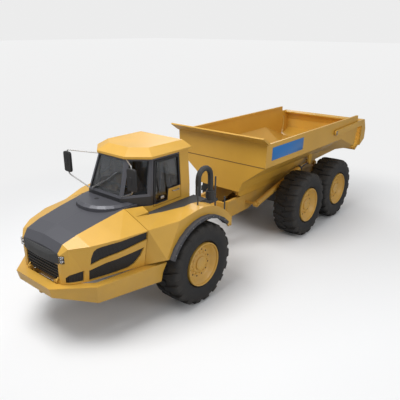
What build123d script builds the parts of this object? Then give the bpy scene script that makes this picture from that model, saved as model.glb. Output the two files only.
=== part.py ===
from build123d import *
from math import cos, sin, pi, radians
import os

# Articulated dump truck. Lengths are in millimetres.
# Stations are measured from the front axle: x forward, y to the left, z up from the ground.
# At the end every piece is moved by ORIGIN_SHIFT, so that the origin is under the middle.

# Running gear
TYRE_R = 875
TYRE_W = 680
TRACK = 2515
FRONT_TO_MID = 4501
MID_TO_REAR = 1820
RIM_R = 467
LUGS_PER_ROW = 18
LUG_DEPTH = 42
LUG_OVERLAP = 30
FLANGE_FACE = 325
DISH_R = 425
DISH_DEPTH = 150
DISC_R = 300
HUB_R = 150
HUB_PROUD = 70
SIDES = 2 * LUGS_PER_ROW
RIM_SIDES = 20
HUB_SIDES = 14
RUN_GAP = 0.4

# Overall reach of the bumper in front and the tail lip behind
FRONT_REACH = 2890
TAIL_LIP = (-7735, 1800)
GATE_DEPTH = 605
REAR_REACH = GATE_DEPTH - TAIL_LIP[0]
ORIGIN_SHIFT = (REAR_REACH - FRONT_REACH) / 2

# Front frame
RAIL_Y = 400
RAIL_W = 80
RAIL_BOTTOM = 1045
RAIL_TOP = 1265
RAIL_NOSE_TOP = 1155
FRAME_REAR = 1000
TAIL_BLOCK_Y = 250
HITCH_X = -1277
EAR_R = 130
EAR_T = 50
EAR_LOW = 720
EAR_HIGH = 1215
PIN_R = 55
SLACK = 0.5
STRUT_Y = 600
STRUT_R = 60
LINK_Y = 185

TOW_X = FRONT_REACH - 190
TOW_Z = 930
TOW_R = 30
TOW_T = 60
REAR_RAIL_END = -7050
JAW_X = REAR_RAIL_END - 175
JAW_Z = 1060
JAW_Y = 50
JAW_T = 40
JAW_R = 55

# Steering and hoist cylinders
STEER_X = -230
STEER_Y = 560
STEER_Z = 975
STEER_PIN_R = 25
STEER_EYE_T = 50
WING_BACK = 110
WING_Y = 385
YOKE_END = -1800
YOKE_Y = 170
ROLL_Z = 995
ROLL_R = 180
TRUNNION_R = 90
HOIST_Y = 785
HOIST_LOW = (-3050, 1120)
HOIST_TOP = (-5750, 1700)
EYE_T = 90
STEER_BARREL_R = 45
STEER_ROD_R = 25
HOIST_BARREL_R = 75
HOIST_ROD_R = 40
STEER_BARREL_L = 805
STEER_ROD_L = 785
HOIST_BARREL_L = 2320
HOIST_ROD_L = 2100
TIP_PIN_R = 35
TIP_EAR_T = 40
EAR_GAP = 6
BEAM_Y = 540
BEAM_W = 130

# Axles
AXLE_W = 220
AXLE_H = 240
DIFF_R = 235
DIFF_L = 330
BRAKE_R = 170
BRAKE_L = 90

# Engine
ENGINE_X0 = 1235
ENGINE_X1 = FRONT_REACH - 560
ENGINE_W = 840
ENGINE_TOP = 1860

# Bumper
BUMPER_TOP = 1208
BUMPER_T = 60
BUMPER_LEDGE = 190
BUMPER_CORNER = (FRONT_REACH - 570, 1092)
BUMPER_NOSE_W = 526
BUMPER_REAR = 930
BUMPER_FLARE = 0.187
BUMPER_LEAN = 75
BUMPER_LOW = (1022, 850, 780)

# Hood: stations back from the nose, each with the black panel's edge and the side crease
HOOD_SPLIT = 1240
HOOD_GAP = 6
HOOD_T = 28
HOOD_LOW = 1216
HOOD_NOSE = FRONT_REACH - 230
HOOD_STATIONS = (
    (HOOD_NOSE, 530, 1800, 585, 1775, 575),
    (HOOD_NOSE - 100, 550, 1938, 700, 1888, 690),
    (HOOD_NOSE - 380, 580, 2030, 935, 1914, 850),
    (1800, 615, 2128, 1150, 1949, 985),
    (HOOD_SPLIT + HOOD_GAP, 645, 2225, 1265, 1960, 1140),
)
DOME_RISE = 45
NOSE_BULGE = 60
HINGE_X = HOOD_NOSE + 15
HINGE_Z = 1240
FRAME_LUG_Y = (380, 420)
HOOD_LUG_Y = (426, 460)
LUG_CLEAR = 5
HOOD_PIN_R = 12
GRILLE_Y = 500
GRILLE_LOW = 1250
NOSE_LOW = 1600
NOSE_TOP = 1795
NOSE_Y = 545
LAMP_X = HOOD_NOSE - 60
LAMP_Y0 = 550
LAMP_Y1 = 640
LAMP_Z0 = 1625
LAMP_Z1 = 1765
DOME_X = 1080
DOME_R = 620
DOME_SIDES = 24
COWL_LOW = 2140
COWL_TOP = 2285

# Cab
CAB_Y = 800
CAB_REAR = -430
CAB_FRONT = 1180
CAB_FRONT_Y = 480
CAB_CORNER_X = 700
CAB_TOP_FRONT = 930
CAB_TOP_FRONT_Y = 400
CAB_TOP_CORNER_X = 600
CAB_TOP_Y = 760
CAB_FLOOR = 1640
CAB_WAIST = 2360
CAB_ROOF = 3080
CAB_T = 40
GLASS_T = 12
DOOR_FRONT = 640
DOOR_REAR = -165
DOOR_LOW = 2120
DOOR_GAP = 16
DOOR_PIVOT = (612, 780)
DOOR_PIN_R = 8
GLASS_INSET = 14
ROOF_RISE = 175
ROOF_TOP = CAB_ROOF + ROOF_RISE
SEAT_Z = 1990
WHEEL_HUB = (760, 2420)
COLUMN_FOOT = (1010, 0, 1980)
DECK_Z = 2030
DECK_T = 30
DECK_MID_Y = 1040
DECK_REAR_Y = 1170
REAR_WALL_Y = 760
RAIL_POSTS = ((-60, 1340, 380), (-440, 1480, 620), (-760, 1480, 290))
RAIL_POST_R = 17
PIPE_X = -930
PIPE_Y = 620
PIPE_R = 65
PIPE_TOP = 2480
CAN_X = -1360
CAN_LOW = 1700
CAN_TOP = 1900
MIRROR_X = 1290
MIRROR_Y = 950
MIRROR_H = 420

# Fender and flare
FENDER_Y = 1500
FENDER_T = 40
ARCH_R = 1050
FENDER_R = 1222
FLARE_R = 985
FLARE_Y = 1600
ARCH_FROM = 26
ARCH_STEP = 12.4

# Rear frame and bed
REAR_RAIL_Y = 425
REAR_RAIL_W = 90
REAR_RAIL_BOTTOM = 1030
REAR_RAIL_TOP = 1320
REAR_RAIL_FRONT = -2250
TIP_X = -6850
TIP_Z = 1380
BED_FRONT = -2500
BED_TOP = 2872
BED_Y = 1373
BED_CREASE = 2300
BED_KNEE = (716, 1820)
BED_FLOOR_Y = 600
BED_FLOOR = 1560
BED_T = 35
BED_RAIL = 60
TAIL_RISE_X = -6700
VISOR = (-2239, 1427, 3050)
GATE_X = -6170
GATE_Z = 2575
GATE_ARM_Y = 1385
GATE_ARM_T = 45
GATE_TOP = 2700
GATE_PIN_R = 35


def box(x0, x1, y0, y1, z0, z1):
    return Pos((x0 + x1) / 2, (y0 + y1) / 2, (z0 + z1) / 2) * Box(abs(x1 - x0), abs(y1 - y0), abs(z1 - z0))


def prism(points, way):
    face = Face(Wire.make_polygon([Vector(*p) for p in points], close=True))
    return Solid.extrude(face, Vector(*way))


def side_plate(points, y0, y1):
    return prism([(x, y0, z) for x, z in points], (0, y1 - y0, 0))


def plan_plate(points, z0, z1):
    return prism([(x, y, z0) for x, y in points], (0, 0, z1 - z0))


def cross_plate(points, x0, x1):
    return prism([(x0, y, z) for y, z in points], (x1 - x0, 0, 0))


def flat_faces(a, b, c, d):
    ab, ac, ad = b - a, c - a, d - a
    across = ab.cross(ac)
    if across.length < 1e-6 or abs(across.normalized().dot(ad)) > 0.005:
        if (c - a).length <= (d - b).length:
            corners = ((a, b, c), (a, c, d))
        else:
            corners = ((a, b, d), (b, c, d))
    else:
        corners = ((a, b, c, d),)
    return [Face(Wire.make_polygon(found, close=True)) for found in corners]


def ruled(*rings):
    rings = [[Vector(*p) for p in ring] for ring in rings]
    faces = []
    for ring in (rings[0], rings[-1]):
        faces += flat_faces(*ring) if len(ring) == 4 else [Face(Wire.make_polygon(ring, close=True))]
    for low, high in zip(rings[:-1], rings[1:]):
        for i in range(len(low)):
            faces += flat_faces(low[i - 1], low[i], high[i], high[i - 1])
    return Solid(Shell(faces))


def rod(start, end, radius):
    a, b = Vector(*start), Vector(*end)
    return Solid.make_cylinder(radius, (b - a).length, Plane(a, z_dir=b - a))


def bar(start, end, radius, sides=12, turn=0.5):
    start, end = Vector(*start), Vector(*end)
    plane = Plane(start, z_dir=end - start)
    reach = (end - start).length
    rings = []
    for z in (0, reach):
        angles = [2 * pi * (i + turn) / sides for i in range(sides)]
        corners = [Vector(radius * cos(a), radius * sin(a), z) for a in angles]
        rings.append([tuple(plane.from_local_coords(corner)) for corner in corners])
    return ruled(*rings)


def bored(start, end, radius, sides=12):
    return bar(start, end, radius / cos(pi / sides), sides, 0)


def mirrored(shape):
    return mirror(shape, about=Plane.XZ)


def both(shape):
    return [shape, mirrored(shape)]


def round_end(cx, cy, radius, a0, a1, count=6):
    return [(cx + radius * cos(radians(a0 + (a1 - a0) * i / count)),
             cy + radius * sin(radians(a0 + (a1 - a0) * i / count))) for i in range(count + 1)]


def ring_points(radius, sides, y, cx=0, cz=0, turn=0.5):
    return [(cx + radius * cos(2 * pi * (i + turn) / sides), y,
             cz + radius * sin(2 * pi * (i + turn) / sides)) for i in range(sides)]


def drum(r0, r1, y0, y1, sides=SIDES):
    return ruled(ring_points(r0, sides, y0), ring_points(r1, sides, y1))


# Wheels

def tyre():
    full = TYRE_W / 2
    bead = (RIM_R - 25, 0.36 * TYRE_W)
    widest = (0.76 * TYRE_R, full)
    shoulder = (TYRE_R - 75, 0.94 * full)
    base_r = TYRE_R - LUG_DEPTH
    crown = 0.84 * full
    step = 2 * pi / SIDES
    out = 1 / cos(step / 2)

    def wedge(i):
        s = 1 if i % 2 == 0 else -1
        profile = [(bead[0], s * bead[1]), (widest[0], s * full), (shoulder[0], s * shoulder[1]),
                   (TYRE_R, s * crown), (TYRE_R, -s * LUG_OVERLAP), (base_r, -s * LUG_OVERLAP),
                   (shoulder[0], -s * shoulder[1]), (widest[0], -s * full), (bead[0], -s * bead[1])]
        ends = [[(r * out * cos(a), y, r * out * sin(a)) for r, y in profile]
                for a in ((i - 0.5) * step, (i + 0.5) * step)]
        return ruled(*ends)

    wedges = [wedge(i) for i in range(SIDES)]
    return wedges[0].fuse(*wedges[1:])


def rim():
    bead_y = 0.36 * TYRE_W
    sides = RIM_SIDES
    seat_r = RIM_R - 25 - RUN_GAP
    face = FLANGE_FACE
    disc = face - DISH_DEPTH
    wall_slope = (TYRE_W / 2 - bead_y) / (0.76 * TYRE_R - RIM_R + 25)
    flange_y = bead_y + 25 * wall_slope + RUN_GAP
    body = drum(seat_r, seat_r, -bead_y, flange_y, sides)
    body += drum(RIM_R, RIM_R, flange_y, face, sides)
    body -= drum(DISH_R, DISC_R, face + 1, disc, sides)
    body -= drum(seat_r - 40, seat_r - 40, -bead_y - 1, disc - 30, sides)
    hub = drum(HUB_R, HUB_R - 25, disc - 1, disc + HUB_PROUD, HUB_SIDES)
    return body + hub


WHEELS = {
    "front": 0,
    "mid": -FRONT_TO_MID,
    "rear": -FRONT_TO_MID - MID_TO_REAR,
}


def placed_wheel(piece, x, side):
    turned = piece if side > 0 else mirrored(piece)
    return Pos(x, side * TRACK / 2, TYRE_R) * turned


def axle(x):
    hub_end = TRACK / 2 + FLANGE_FACE - DISH_DEPTH - 30 - RUN_GAP
    brake_in = hub_end - BRAKE_L
    z0, z1 = TYRE_R - AXLE_H / 2, TYRE_R + AXLE_H / 2
    body = box(x - AXLE_W / 2, x + AXLE_W / 2, -brake_in, brake_in, z0, z1)
    case = [(DIFF_R * cos(2 * pi * (i + 0.5) / 12), TYRE_R + DIFF_R * sin(2 * pi * (i + 0.5) / 12))
            for i in range(12)]
    body += cross_plate(case, x - DIFF_L / 2, x + DIFF_L / 2)
    for side in (1, -1):
        drum_ends = [ring_points(BRAKE_R, HUB_SIDES, side * y, x, TYRE_R) for y in (brake_in - 1, hub_end)]
        body += ruled(*drum_ends)
    return body


# Front frame, bumper and engine

def bumper_lean(z):
    return BUMPER_LEAN * (BUMPER_TOP - z) / (BUMPER_TOP - BUMPER_LOW[1])


def front_frame():
    reach = FRONT_REACH - BUMPER_T
    rail = [(-FRAME_REAR + 100, RAIL_BOTTOM), (-FRAME_REAR + 100, RAIL_TOP), (HOOD_NOSE - 310, RAIL_TOP),
            (HOOD_NOSE - 210, RAIL_NOSE_TOP), (reach - bumper_lean(RAIL_NOSE_TOP), RAIL_NOSE_TOP),
            (reach - bumper_lean(RAIL_BOTTOM), RAIL_BOTTOM)]
    body = side_plate(rail, RAIL_Y - RAIL_W / 2, RAIL_Y + RAIL_W / 2)
    body += mirrored(body)
    inner = RAIL_Y - RAIL_W / 2 + 1
    body += box(HOOD_NOSE - 200, HOOD_NOSE - 140, -inner, inner, RAIL_BOTTOM, RAIL_NOSE_TOP)
    body += box(-FRAME_REAR, -FRAME_REAR + 101, -TAIL_BLOCK_Y, TAIL_BLOCK_Y, EAR_LOW, RAIL_TOP)
    body += box(-FRAME_REAR + 100, -FRAME_REAR + 160, -RAIL_Y, RAIL_Y, RAIL_BOTTOM, RAIL_TOP)
    for z in (EAR_LOW, EAR_HIGH):
        ear = [(-FRAME_REAR + 1, -TAIL_BLOCK_Y), (-FRAME_REAR + 1, TAIL_BLOCK_Y)]
        body += plan_plate(ear + round_end(HITCH_X, 0, EAR_R, 100, 260), z, z + EAR_T)
    body += bar((HITCH_X, 0, EAR_LOW + EAR_T - 1), (HITCH_X, 0, EAR_HIGH + 1), PIN_R)
    for side in (1, -1):
        y2, y3 = side * FRAME_LUG_Y[0], side * FRAME_LUG_Y[1]
        lug = side_plate([(HINGE_X - 70, RAIL_NOSE_TOP - 1), (HINGE_X + 10, RAIL_NOSE_TOP - 1),
                          (HINGE_X + 24, HINGE_Z - 20), (HINGE_X + 22, HINGE_Z + 22),
                          (HINGE_X - 22, HINGE_Z + 22)], y2, y3)
        body += lug - bored((HINGE_X, y2 - side, HINGE_Z), (HINGE_X, y3 + side, HINGE_Z), HOOD_PIN_R + SLACK)
    tow = side_plate([(TOW_X - 140, RAIL_BOTTOM + 1), (TOW_X + 75, RAIL_BOTTOM + 1), (TOW_X + 70, TOW_Z - 40),
                      (TOW_X, TOW_Z - 70), (TOW_X - 70, TOW_Z - 40)], -TOW_T / 2, TOW_T / 2)
    tow += box(TOW_X - 140, TOW_X + 75, -inner, inner, RAIL_BOTTOM, RAIL_BOTTOM + 40)
    body += tow - rod((TOW_X, -TOW_T, TOW_Z), (TOW_X, TOW_T, TOW_Z), TOW_R)
    for x in (CAB_REAR + 80, CAB_CORNER_X - 60):
        for side in (1, -1):
            y = side * RAIL_Y
            body += box(x - 50, x + 50, y - 40, y + 40, RAIL_TOP - 1, CAB_FLOOR - CAB_T)
    return body


def steer_brackets():
    """The ledge on each rail's outer face, with the pin that a steering cylinder turns on."""
    ledges = []
    for side in (1, -1):
        y0, y1 = side * (RAIL_Y + RAIL_W / 2), side * STEER_Y
        ledge = box(STEER_X - 80, STEER_X + 80, y0, y1 + side * 70, STEER_Z + 55, STEER_Z + 85)
        ledges.append(ledge + bar((STEER_X, y1, STEER_Z - 45), (STEER_X, y1, STEER_Z + 56), STEER_PIN_R))
    return Compound(ledges)


def front_suspension():
    top = TYRE_R + AXLE_H / 2
    struts = []
    for side in (1, -1):
        y = side * STRUT_Y
        strut = bar((0, y, top), (0, y, RAIL_TOP - 40), STRUT_R)
        strut += box(-STRUT_R - 20, STRUT_R + 20, side * (RAIL_Y + RAIL_W / 2), y + side * (STRUT_R + 20),
                     RAIL_TOP - 41, RAIL_TOP)
        struts.append(strut)
        link_y = side * LINK_Y
        struts.append(box(-FRAME_REAR + 101, -DIFF_L / 2 - RUN_GAP, link_y - 35, link_y + 35,
                          TYRE_R - 45, TYRE_R + 45))
    return Compound(struts)


def bumper():
    nose = (FRONT_REACH, BUMPER_NOSE_W)
    tail_x = 850
    tail_y = BUMPER_CORNER[1] + BUMPER_FLARE * (BUMPER_CORNER[0] - tail_x)

    def outline(inset, z):
        d = inset + bumper_lean(z)
        half = [(nose[0] - d, nose[1] - 0.4 * d), (BUMPER_CORNER[0] - 0.45 * d, BUMPER_CORNER[1] - 0.75 * d),
                (tail_x, tail_y - d)]
        return [(x, y, z) for x, y in half] + [(x, -y, z) for x, y in reversed(half)]

    low = BUMPER_LOW[2] - 60
    body = ruled(outline(0, BUMPER_TOP), outline(0, low))
    body -= ruled(outline(BUMPER_T, BUMPER_TOP - 40), outline(BUMPER_T, low - 1))
    body -= ruled(outline(BUMPER_LEDGE, BUMPER_TOP + 1), outline(BUMPER_LEDGE, BUMPER_TOP - 60))
    keep = [(FRONT_REACH + 20, BUMPER_TOP + 5), (FRONT_REACH + 20, BUMPER_LOW[0] + 8),
            (FRONT_REACH - 30, BUMPER_LOW[0]), (BUMPER_CORNER[0] - 70, BUMPER_LOW[1]),
            (BUMPER_REAR, BUMPER_LOW[2]), (BUMPER_REAR, 1000), (BUMPER_REAR - 60, BUMPER_TOP + 5)]
    width = tail_y + 50
    return body & side_plate(keep, -width, width)


# Hood

def hood_rings(inset):
    rings = []
    for i, (x, py, pz, cy, cz, ly) in enumerate(HOOD_STATIONS):
        if i == 0:
            x -= inset
        half = [(ly - inset, HOOD_LOW), (cy - inset, cz - 0.7 * inset), (py - 0.6 * inset, pz - inset)]
        rise = pz - inset + DOME_RISE
        ring = [(x, y, z) for y, z in half] + [(x, 0, rise)] + [(x, -y, z) for y, z in reversed(half)]
        rings.append(ring)
    return rings


def hood_skin(inset, depth):
    return ruled(*hood_rings(inset)) - ruled(*hood_rings(inset + depth))


def grille_outlines():
    upper = [(390, 1545), (398, 1680), (435, 1790), (490, 1848), (575, 1868), (860, 1900), (1250, 1928),
             (1680, 1950), (2120, 1985), (1920, 1872), (1680, 1832), (1070, 1712), (709, 1634)]
    lower = [(370, 1445), (718, 1518), (1086, 1584), (1375, 1628), (1315, 1475), (1192, 1325), (1078, 1272),
             (740, 1244), (370, 1244)]
    small = [(45, 1345), (90, 1400), (310, 1448), (295, 1244), (45, 1244)]
    return [[(HOOD_NOSE - back, z) for back, z in outline] for outline in (upper, lower, small)]


def dome_disc(grow, z0, z1):
    return ruled(ring3(DOME_R + grow, DOME_SIDES, z0), ring3(DOME_R + grow, DOME_SIDES, z1))


def hood_pieces():
    shell = hood_skin(0, HOOD_T)
    shell -= dome_disc(HOOD_GAP + 4, 2000, 2400)
    edge = [(x, py) for x, py, *_ in HOOD_STATIONS]
    edge[0] = (HOOD_NOSE + 5, edge[0][1])
    edge[-1] = (HOOD_SPLIT, edge[-1][1])
    plan = edge + [(x, -y) for x, y in reversed(edge)]
    panel_zone = plan_plate(plan, 1700, 2400)
    panel = shell & panel_zone
    sides = shell - panel_zone
    for outline in grille_outlines():
        for side in (1, -1):
            sides -= side_plate(outline, side * 300, side * 1400)
    sides -= box(HOOD_NOSE - 60, HOOD_NOSE + 10, -GRILLE_Y, GRILLE_Y, GRILLE_LOW, NOSE_LOW - 20)
    notch_y = FRAME_LUG_Y[1] + LUG_CLEAR
    sides -= box(HOOD_NOSE - 60, HOOD_NOSE + 10, -notch_y, notch_y, HOOD_LOW - 1, GRILLE_LOW + 1)
    lamps, lugs = [], []
    for side in (1, -1):
        lamp = box(LAMP_X, HOOD_NOSE + 4, side * LAMP_Y0, side * LAMP_Y1, LAMP_Z0, LAMP_Z1)
        sides -= lamp
        lamps.append(lamp)
        lug = side_plate([(HOOD_NOSE - 20, HOOD_LOW), (HOOD_NOSE - 20, HINGE_Z + 70),
                          (HINGE_X + 10, HINGE_Z + 24), (HINGE_X + 24, HINGE_Z), (HINGE_X + 10, HINGE_Z - 20)],
                         side * HOOD_LUG_Y[0], side * HOOD_LUG_Y[1])
        lugs.append(lug)
        sides += lug
        pin_y = side * (FRAME_LUG_Y[0] - 2)
        sides += bar((HINGE_X, side * HOOD_LUG_Y[1], HINGE_Z), (HINGE_X, pin_y, HINGE_Z), HOOD_PIN_R)
    backing = hood_skin(HOOD_T, 12)
    grilles = []
    for outline in grille_outlines():
        for side in (1, -1):
            zone = side_plate(widened(outline, 18), side * 560, side * 1400)
            grilles.append(backing & zone)
    x = HOOD_NOSE - HOOD_T
    mesh = box(x - 12, x, -GRILLE_Y - 15, GRILLE_Y + 15, GRILLE_LOW - 10, NOSE_LOW)
    for i in range(6):
        z = GRILLE_LOW + 30 + i * (NOSE_LOW - GRILLE_LOW - 60) / 5
        mesh += box(x - 1, x + 16, -GRILLE_Y + 5, GRILLE_Y - 5, z - 8, z + 8)
    for side in (1, -1):
        mesh -= box(x - 20, x + 20, side * (FRAME_LUG_Y[0] - LUG_CLEAR), side * notch_y, HOOD_LOW, HINGE_Z + 55)
    grilles.append(mesh - lugs[0] - lugs[1])
    low = [(HOOD_NOSE, -NOSE_Y), (HOOD_NOSE + 0.7 * NOSE_BULGE, -0.6 * NOSE_Y), (HOOD_NOSE + NOSE_BULGE, 0),
           (HOOD_NOSE + 0.7 * NOSE_BULGE, 0.6 * NOSE_Y), (HOOD_NOSE, NOSE_Y)]
    nose = ruled([(x, y, NOSE_LOW) for x, y in low], [(x, y, NOSE_TOP - 60) for x, y in low],
                 [(HOOD_NOSE + 0.45 * (x - HOOD_NOSE), 0.97 * y, NOSE_TOP) for x, y in low])
    return {"hood_panel": panel, "hood_shell": sides, "hood_grilles": Compound(solids(grilles)),
            "headlamps": Compound(lamps), "hood_nose": nose}


def widened(outline, by):
    cx = sum(x for x, _ in outline) / len(outline)
    cz = sum(z for _, z in outline) / len(outline)
    return [(x + by * (1 if x > cx else -1), z + by * (1 if z > cz else -1)) for x, z in outline]


def solids(shapes):
    found = []
    for shape in shapes:
        found += list(shape.solids())
    return found


# Cab

def cab_plan(z, inset=0):
    t = max(0, (z - CAB_WAIST) / (CAB_ROOF - CAB_WAIST))
    side = CAB_Y + t * (CAB_TOP_Y - CAB_Y) - inset
    corner = (CAB_CORNER_X + t * (CAB_TOP_CORNER_X - CAB_CORNER_X) - 0.5 * inset, side)
    front = (CAB_FRONT + t * (CAB_TOP_FRONT - CAB_FRONT) - inset,
             CAB_FRONT_Y + t * (CAB_TOP_FRONT_Y - CAB_FRONT_Y) - 0.35 * inset)
    half = [(CAB_REAR + inset, side), corner, front]
    return [(x, y, z) for x, y in half] + [(x, -y, z) for x, y in reversed(half)]


def cab_block(inset=0):
    return ruled(*[cab_plan(z, inset) for z in (CAB_FLOOR - CAB_T, CAB_WAIST, CAB_ROOF)])


def cab_skin(inset, depth, low, high):
    outer = cab_block(inset)
    reach = [low - 1, CAB_WAIST, high + 1] if inset else [low + depth, CAB_WAIST, high + 1]
    return outer - ruled(*[cab_plan(z, inset + depth) for z in reach])


def window_zones():
    top, low = CAB_ROOF - 45, CAB_WAIST + 45
    front = cross_plate([(-CAB_FRONT_Y + 45, low), (CAB_FRONT_Y - 45, low), (CAB_TOP_FRONT_Y - 35, top),
                         (-CAB_TOP_FRONT_Y + 35, top)], CAB_CORNER_X + 100, CAB_FRONT + 50)
    corner = [(CAB_FRONT - 55, low), (CAB_CORNER_X + 35, low), (CAB_TOP_CORNER_X + 35, top),
              (CAB_TOP_FRONT - 45, top)]
    side = [(CAB_CORNER_X - 35, low), (DOOR_REAR, low), (DOOR_REAR, top), (CAB_TOP_CORNER_X - 20, top)]
    rear = box(CAB_REAR - 50, CAB_REAR + 90, -620, 620, low + 40, top - 20)
    corners = [side_plate(corner, s * (CAB_TOP_FRONT_Y + 20), s * (CAB_Y + 20)) for s in (1, -1)]
    right = side_plate(side, -CAB_Y + 100, -CAB_Y - 20)
    return [front, corners[0], corners[1], right, rear]


def door_zone(gap):
    front, top = DOOR_FRONT - gap, CAB_ROOF - 45 - gap
    lean = (CAB_CORNER_X - CAB_TOP_CORNER_X) * 0.9
    outline = [(DOOR_REAR + gap, DOOR_LOW + gap), (front, DOOR_LOW + gap), (front, CAB_WAIST),
               (front - (lean if gap else 0.9 * lean), top), (DOOR_REAR + gap, top)]
    return side_plate(outline, CAB_Y - 100, CAB_Y + 20)


def door_window():
    outline = [(DOOR_FRONT - 70, DOOR_LOW + 60), (240, DOOR_LOW + 60), (207, CAB_WAIST + 30),
               (DOOR_REAR + 60, CAB_WAIST + 30), (DOOR_REAR + 60, CAB_ROOF - 100),
               (CAB_TOP_CORNER_X - 115, CAB_ROOF - 100), (DOOR_FRONT - 70, CAB_WAIST + 20)]
    return side_plate(outline, CAB_Y - 100, CAB_Y + 20)


def cab_pieces():
    skin_all = cab_skin(0, CAB_T, CAB_FLOOR - CAB_T, CAB_ROOF)
    for zone in window_zones():
        skin_all -= zone
    skin_all -= door_zone(0)
    skin_all -= rod((*DOOR_PIVOT, DOOR_LOW - 35), (*DOOR_PIVOT, DOOR_LOW + 1), DOOR_PIN_R + SLACK)
    frame_zone = box(DOOR_REAR, CAB_FRONT + 50, -CAB_Y - 50, CAB_Y + 50, CAB_WAIST, CAB_ROOF + 1)
    frame = skin_all & frame_zone
    tub = skin_all - frame_zone
    glass_skin = cab_skin(GLASS_INSET, GLASS_T, CAB_FLOOR - CAB_T, CAB_ROOF)
    glass = [glass_skin & zone for zone in window_zones()]
    door = cab_skin(0, CAB_T, CAB_FLOOR - CAB_T, CAB_ROOF) & door_zone(DOOR_GAP)
    door -= door_window()
    door += rod((*DOOR_PIVOT, DOOR_LOW - 30), (*DOOR_PIVOT, DOOR_LOW + 20), DOOR_PIN_R)
    door_glass = glass_skin & door_window()
    roof_low = [(970, 404), (640, 800), (-500, 800)]
    roof_top = [(760, 300), (520, 600), (-420, 620)]
    rings = []
    for half, z in ((roof_low, CAB_ROOF), (roof_low, CAB_ROOF + 45), (roof_top, ROOF_TOP)):
        rings.append([(x, y, z) for x, y in half] + [(x, -y, z) for x, y in reversed(half)])
    return {"cab_tub": tub, "cab_frame": frame, "cab_glass": Compound(solids(glass)),
            "cab_door": door, "door_glass": door_glass, "cab_roof": ruled(*rings)}


def seat():
    body = box(-20, 300, -160, 160, CAB_FLOOR, SEAT_Z)
    cushion = side_plate([(-120, SEAT_Z), (380, SEAT_Z), (400, SEAT_Z + 90), (360, SEAT_Z + 130),
                          (-60, SEAT_Z + 110)], -250, 250)
    back = side_plate([(-120, SEAT_Z + 1), (-20, SEAT_Z + 100), (-100, SEAT_Z + 760), (-150, SEAT_Z + 790),
                       (-220, SEAT_Z + 760), (-200, SEAT_Z + 1)], -240, 240)
    return body + cushion + back


def dashboard():
    desk = side_plate([(CAB_FRONT - 60, CAB_FLOOR), (CAB_FRONT - 60, CAB_WAIST - 20), (900, CAB_WAIST - 10),
                       (820, CAB_WAIST - 90), (1000, CAB_WAIST - 320), (1000, CAB_FLOOR)], -430, 430)
    column = bar(COLUMN_FOOT, (WHEEL_HUB[0], 0, WHEEL_HUB[1]), 40)
    return desk + column


def steering_wheel():
    low = Vector(*COLUMN_FOOT)
    hub = Vector(WHEEL_HUB[0], 0, WHEEL_HUB[1])
    way = (hub - low).normalized()
    seat_plane = Plane(hub + way * (15 + RUN_GAP), z_dir=way)
    rings = []
    for i in range(17):
        a = 2 * pi * i / 16
        rings.append([tuple(seat_plane.from_local_coords(Vector(r * cos(a), r * sin(a), z)))
                      for r, z in ((206, 0), (190, 16), (174, 0), (190, -16))])
    wheel = ruled(*rings[:9]) + ruled(*rings[8:])
    for direction in (seat_plane.x_dir, seat_plane.y_dir):
        wheel += bar(seat_plane.origin - direction * 185, seat_plane.origin + direction * 185, 10, 4)
    return wheel + bar(hub + way * RUN_GAP, hub + way * 30, 45, 10)


# Fenders, decks, cowl and fittings

def arc_points(radius, a0, a1, count):
    return round_end(0, TYRE_R, radius, a0, a1, count)


def fender():
    tail = (-914, 1397)
    inner = arc_points(ARCH_R, ARCH_FROM, ARCH_FROM + 10 * ARCH_STEP, 10)
    outer = arc_points(FENDER_R, 146, 82, 6)
    arch = side_plate(inner + [tail] + outer + [(640, 2021), (1010, 1345)], FENDER_Y - FENDER_T, FENDER_Y)
    strip_out = arc_points(FENDER_R, 146, 82, 6) + [(640, 2021)]
    strip_in = [(640, 1985)] + arc_points(FENDER_R - 35, 82, 146, 6)
    body = arch + side_plate(strip_out + strip_in, DECK_REAR_Y, FENDER_Y - 1)
    rear_wall = [(REAR_WALL_Y, 1560), (FENDER_Y - 1, 1400), (FENDER_Y - 1, 1600), (DECK_REAR_Y, 1700),
                 (REAR_WALL_Y, 1700)]
    body += cross_plate(rear_wall, -1005, -965)
    x = HOOD_SPLIT - HOOD_GAP
    panel_y, panel_z, crease_y, crease_z, low_y = HOOD_STATIONS[-1][1:]
    body += ruled([(x, low_y - 35, HOOD_LOW), (x, low_y, HOOD_LOW), (x, crease_y, crease_z),
                   (x, crease_y - 35, crease_z)],
                  [(1000, FENDER_Y - 45, 1330), (1000, FENDER_Y, 1345), (640, FENDER_Y, 2021),
                   (640, FENDER_Y - 40, 2010)])
    knuckle = [(640, DECK_MID_Y, 2050), (640, DECK_MID_Y, 2085), (640, FENDER_Y, 2021),
               (640, FENDER_Y - 30, 1985)]
    body += ruled([(x, 900, 2090), (x, 900, 2120), (x, crease_y, crease_z), (x, crease_y - 30, crease_z - 30)],
                  knuckle)
    body += ruled(knuckle, [(170, DECK_REAR_Y, 2055), (170, DECK_REAR_Y, 2090), (170, FENDER_Y, 2085),
                            (170, FENDER_Y - 30, 2049)])
    body += ruled([(x, panel_y + 12, 2190), (x, panel_y + 12, panel_z - 5), (x, 906, 2120), (x, 906, 2085)],
                  [(CAB_CORNER_X + 160, CAB_Y - 60, 2150), (CAB_CORNER_X + 160, CAB_Y - 60, 2190),
                   (CAB_CORNER_X + 160, 894, 2110), (CAB_CORNER_X + 160, 894, 2075)])
    return body


def flare():
    end = ARCH_FROM + 9 * ARCH_STEP
    outline = arc_points(FLARE_R, ARCH_FROM, end, 9) + arc_points(ARCH_R, end, ARCH_FROM, 9)
    return side_plate(outline, FENDER_Y - FENDER_T, FLARE_Y)


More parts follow.
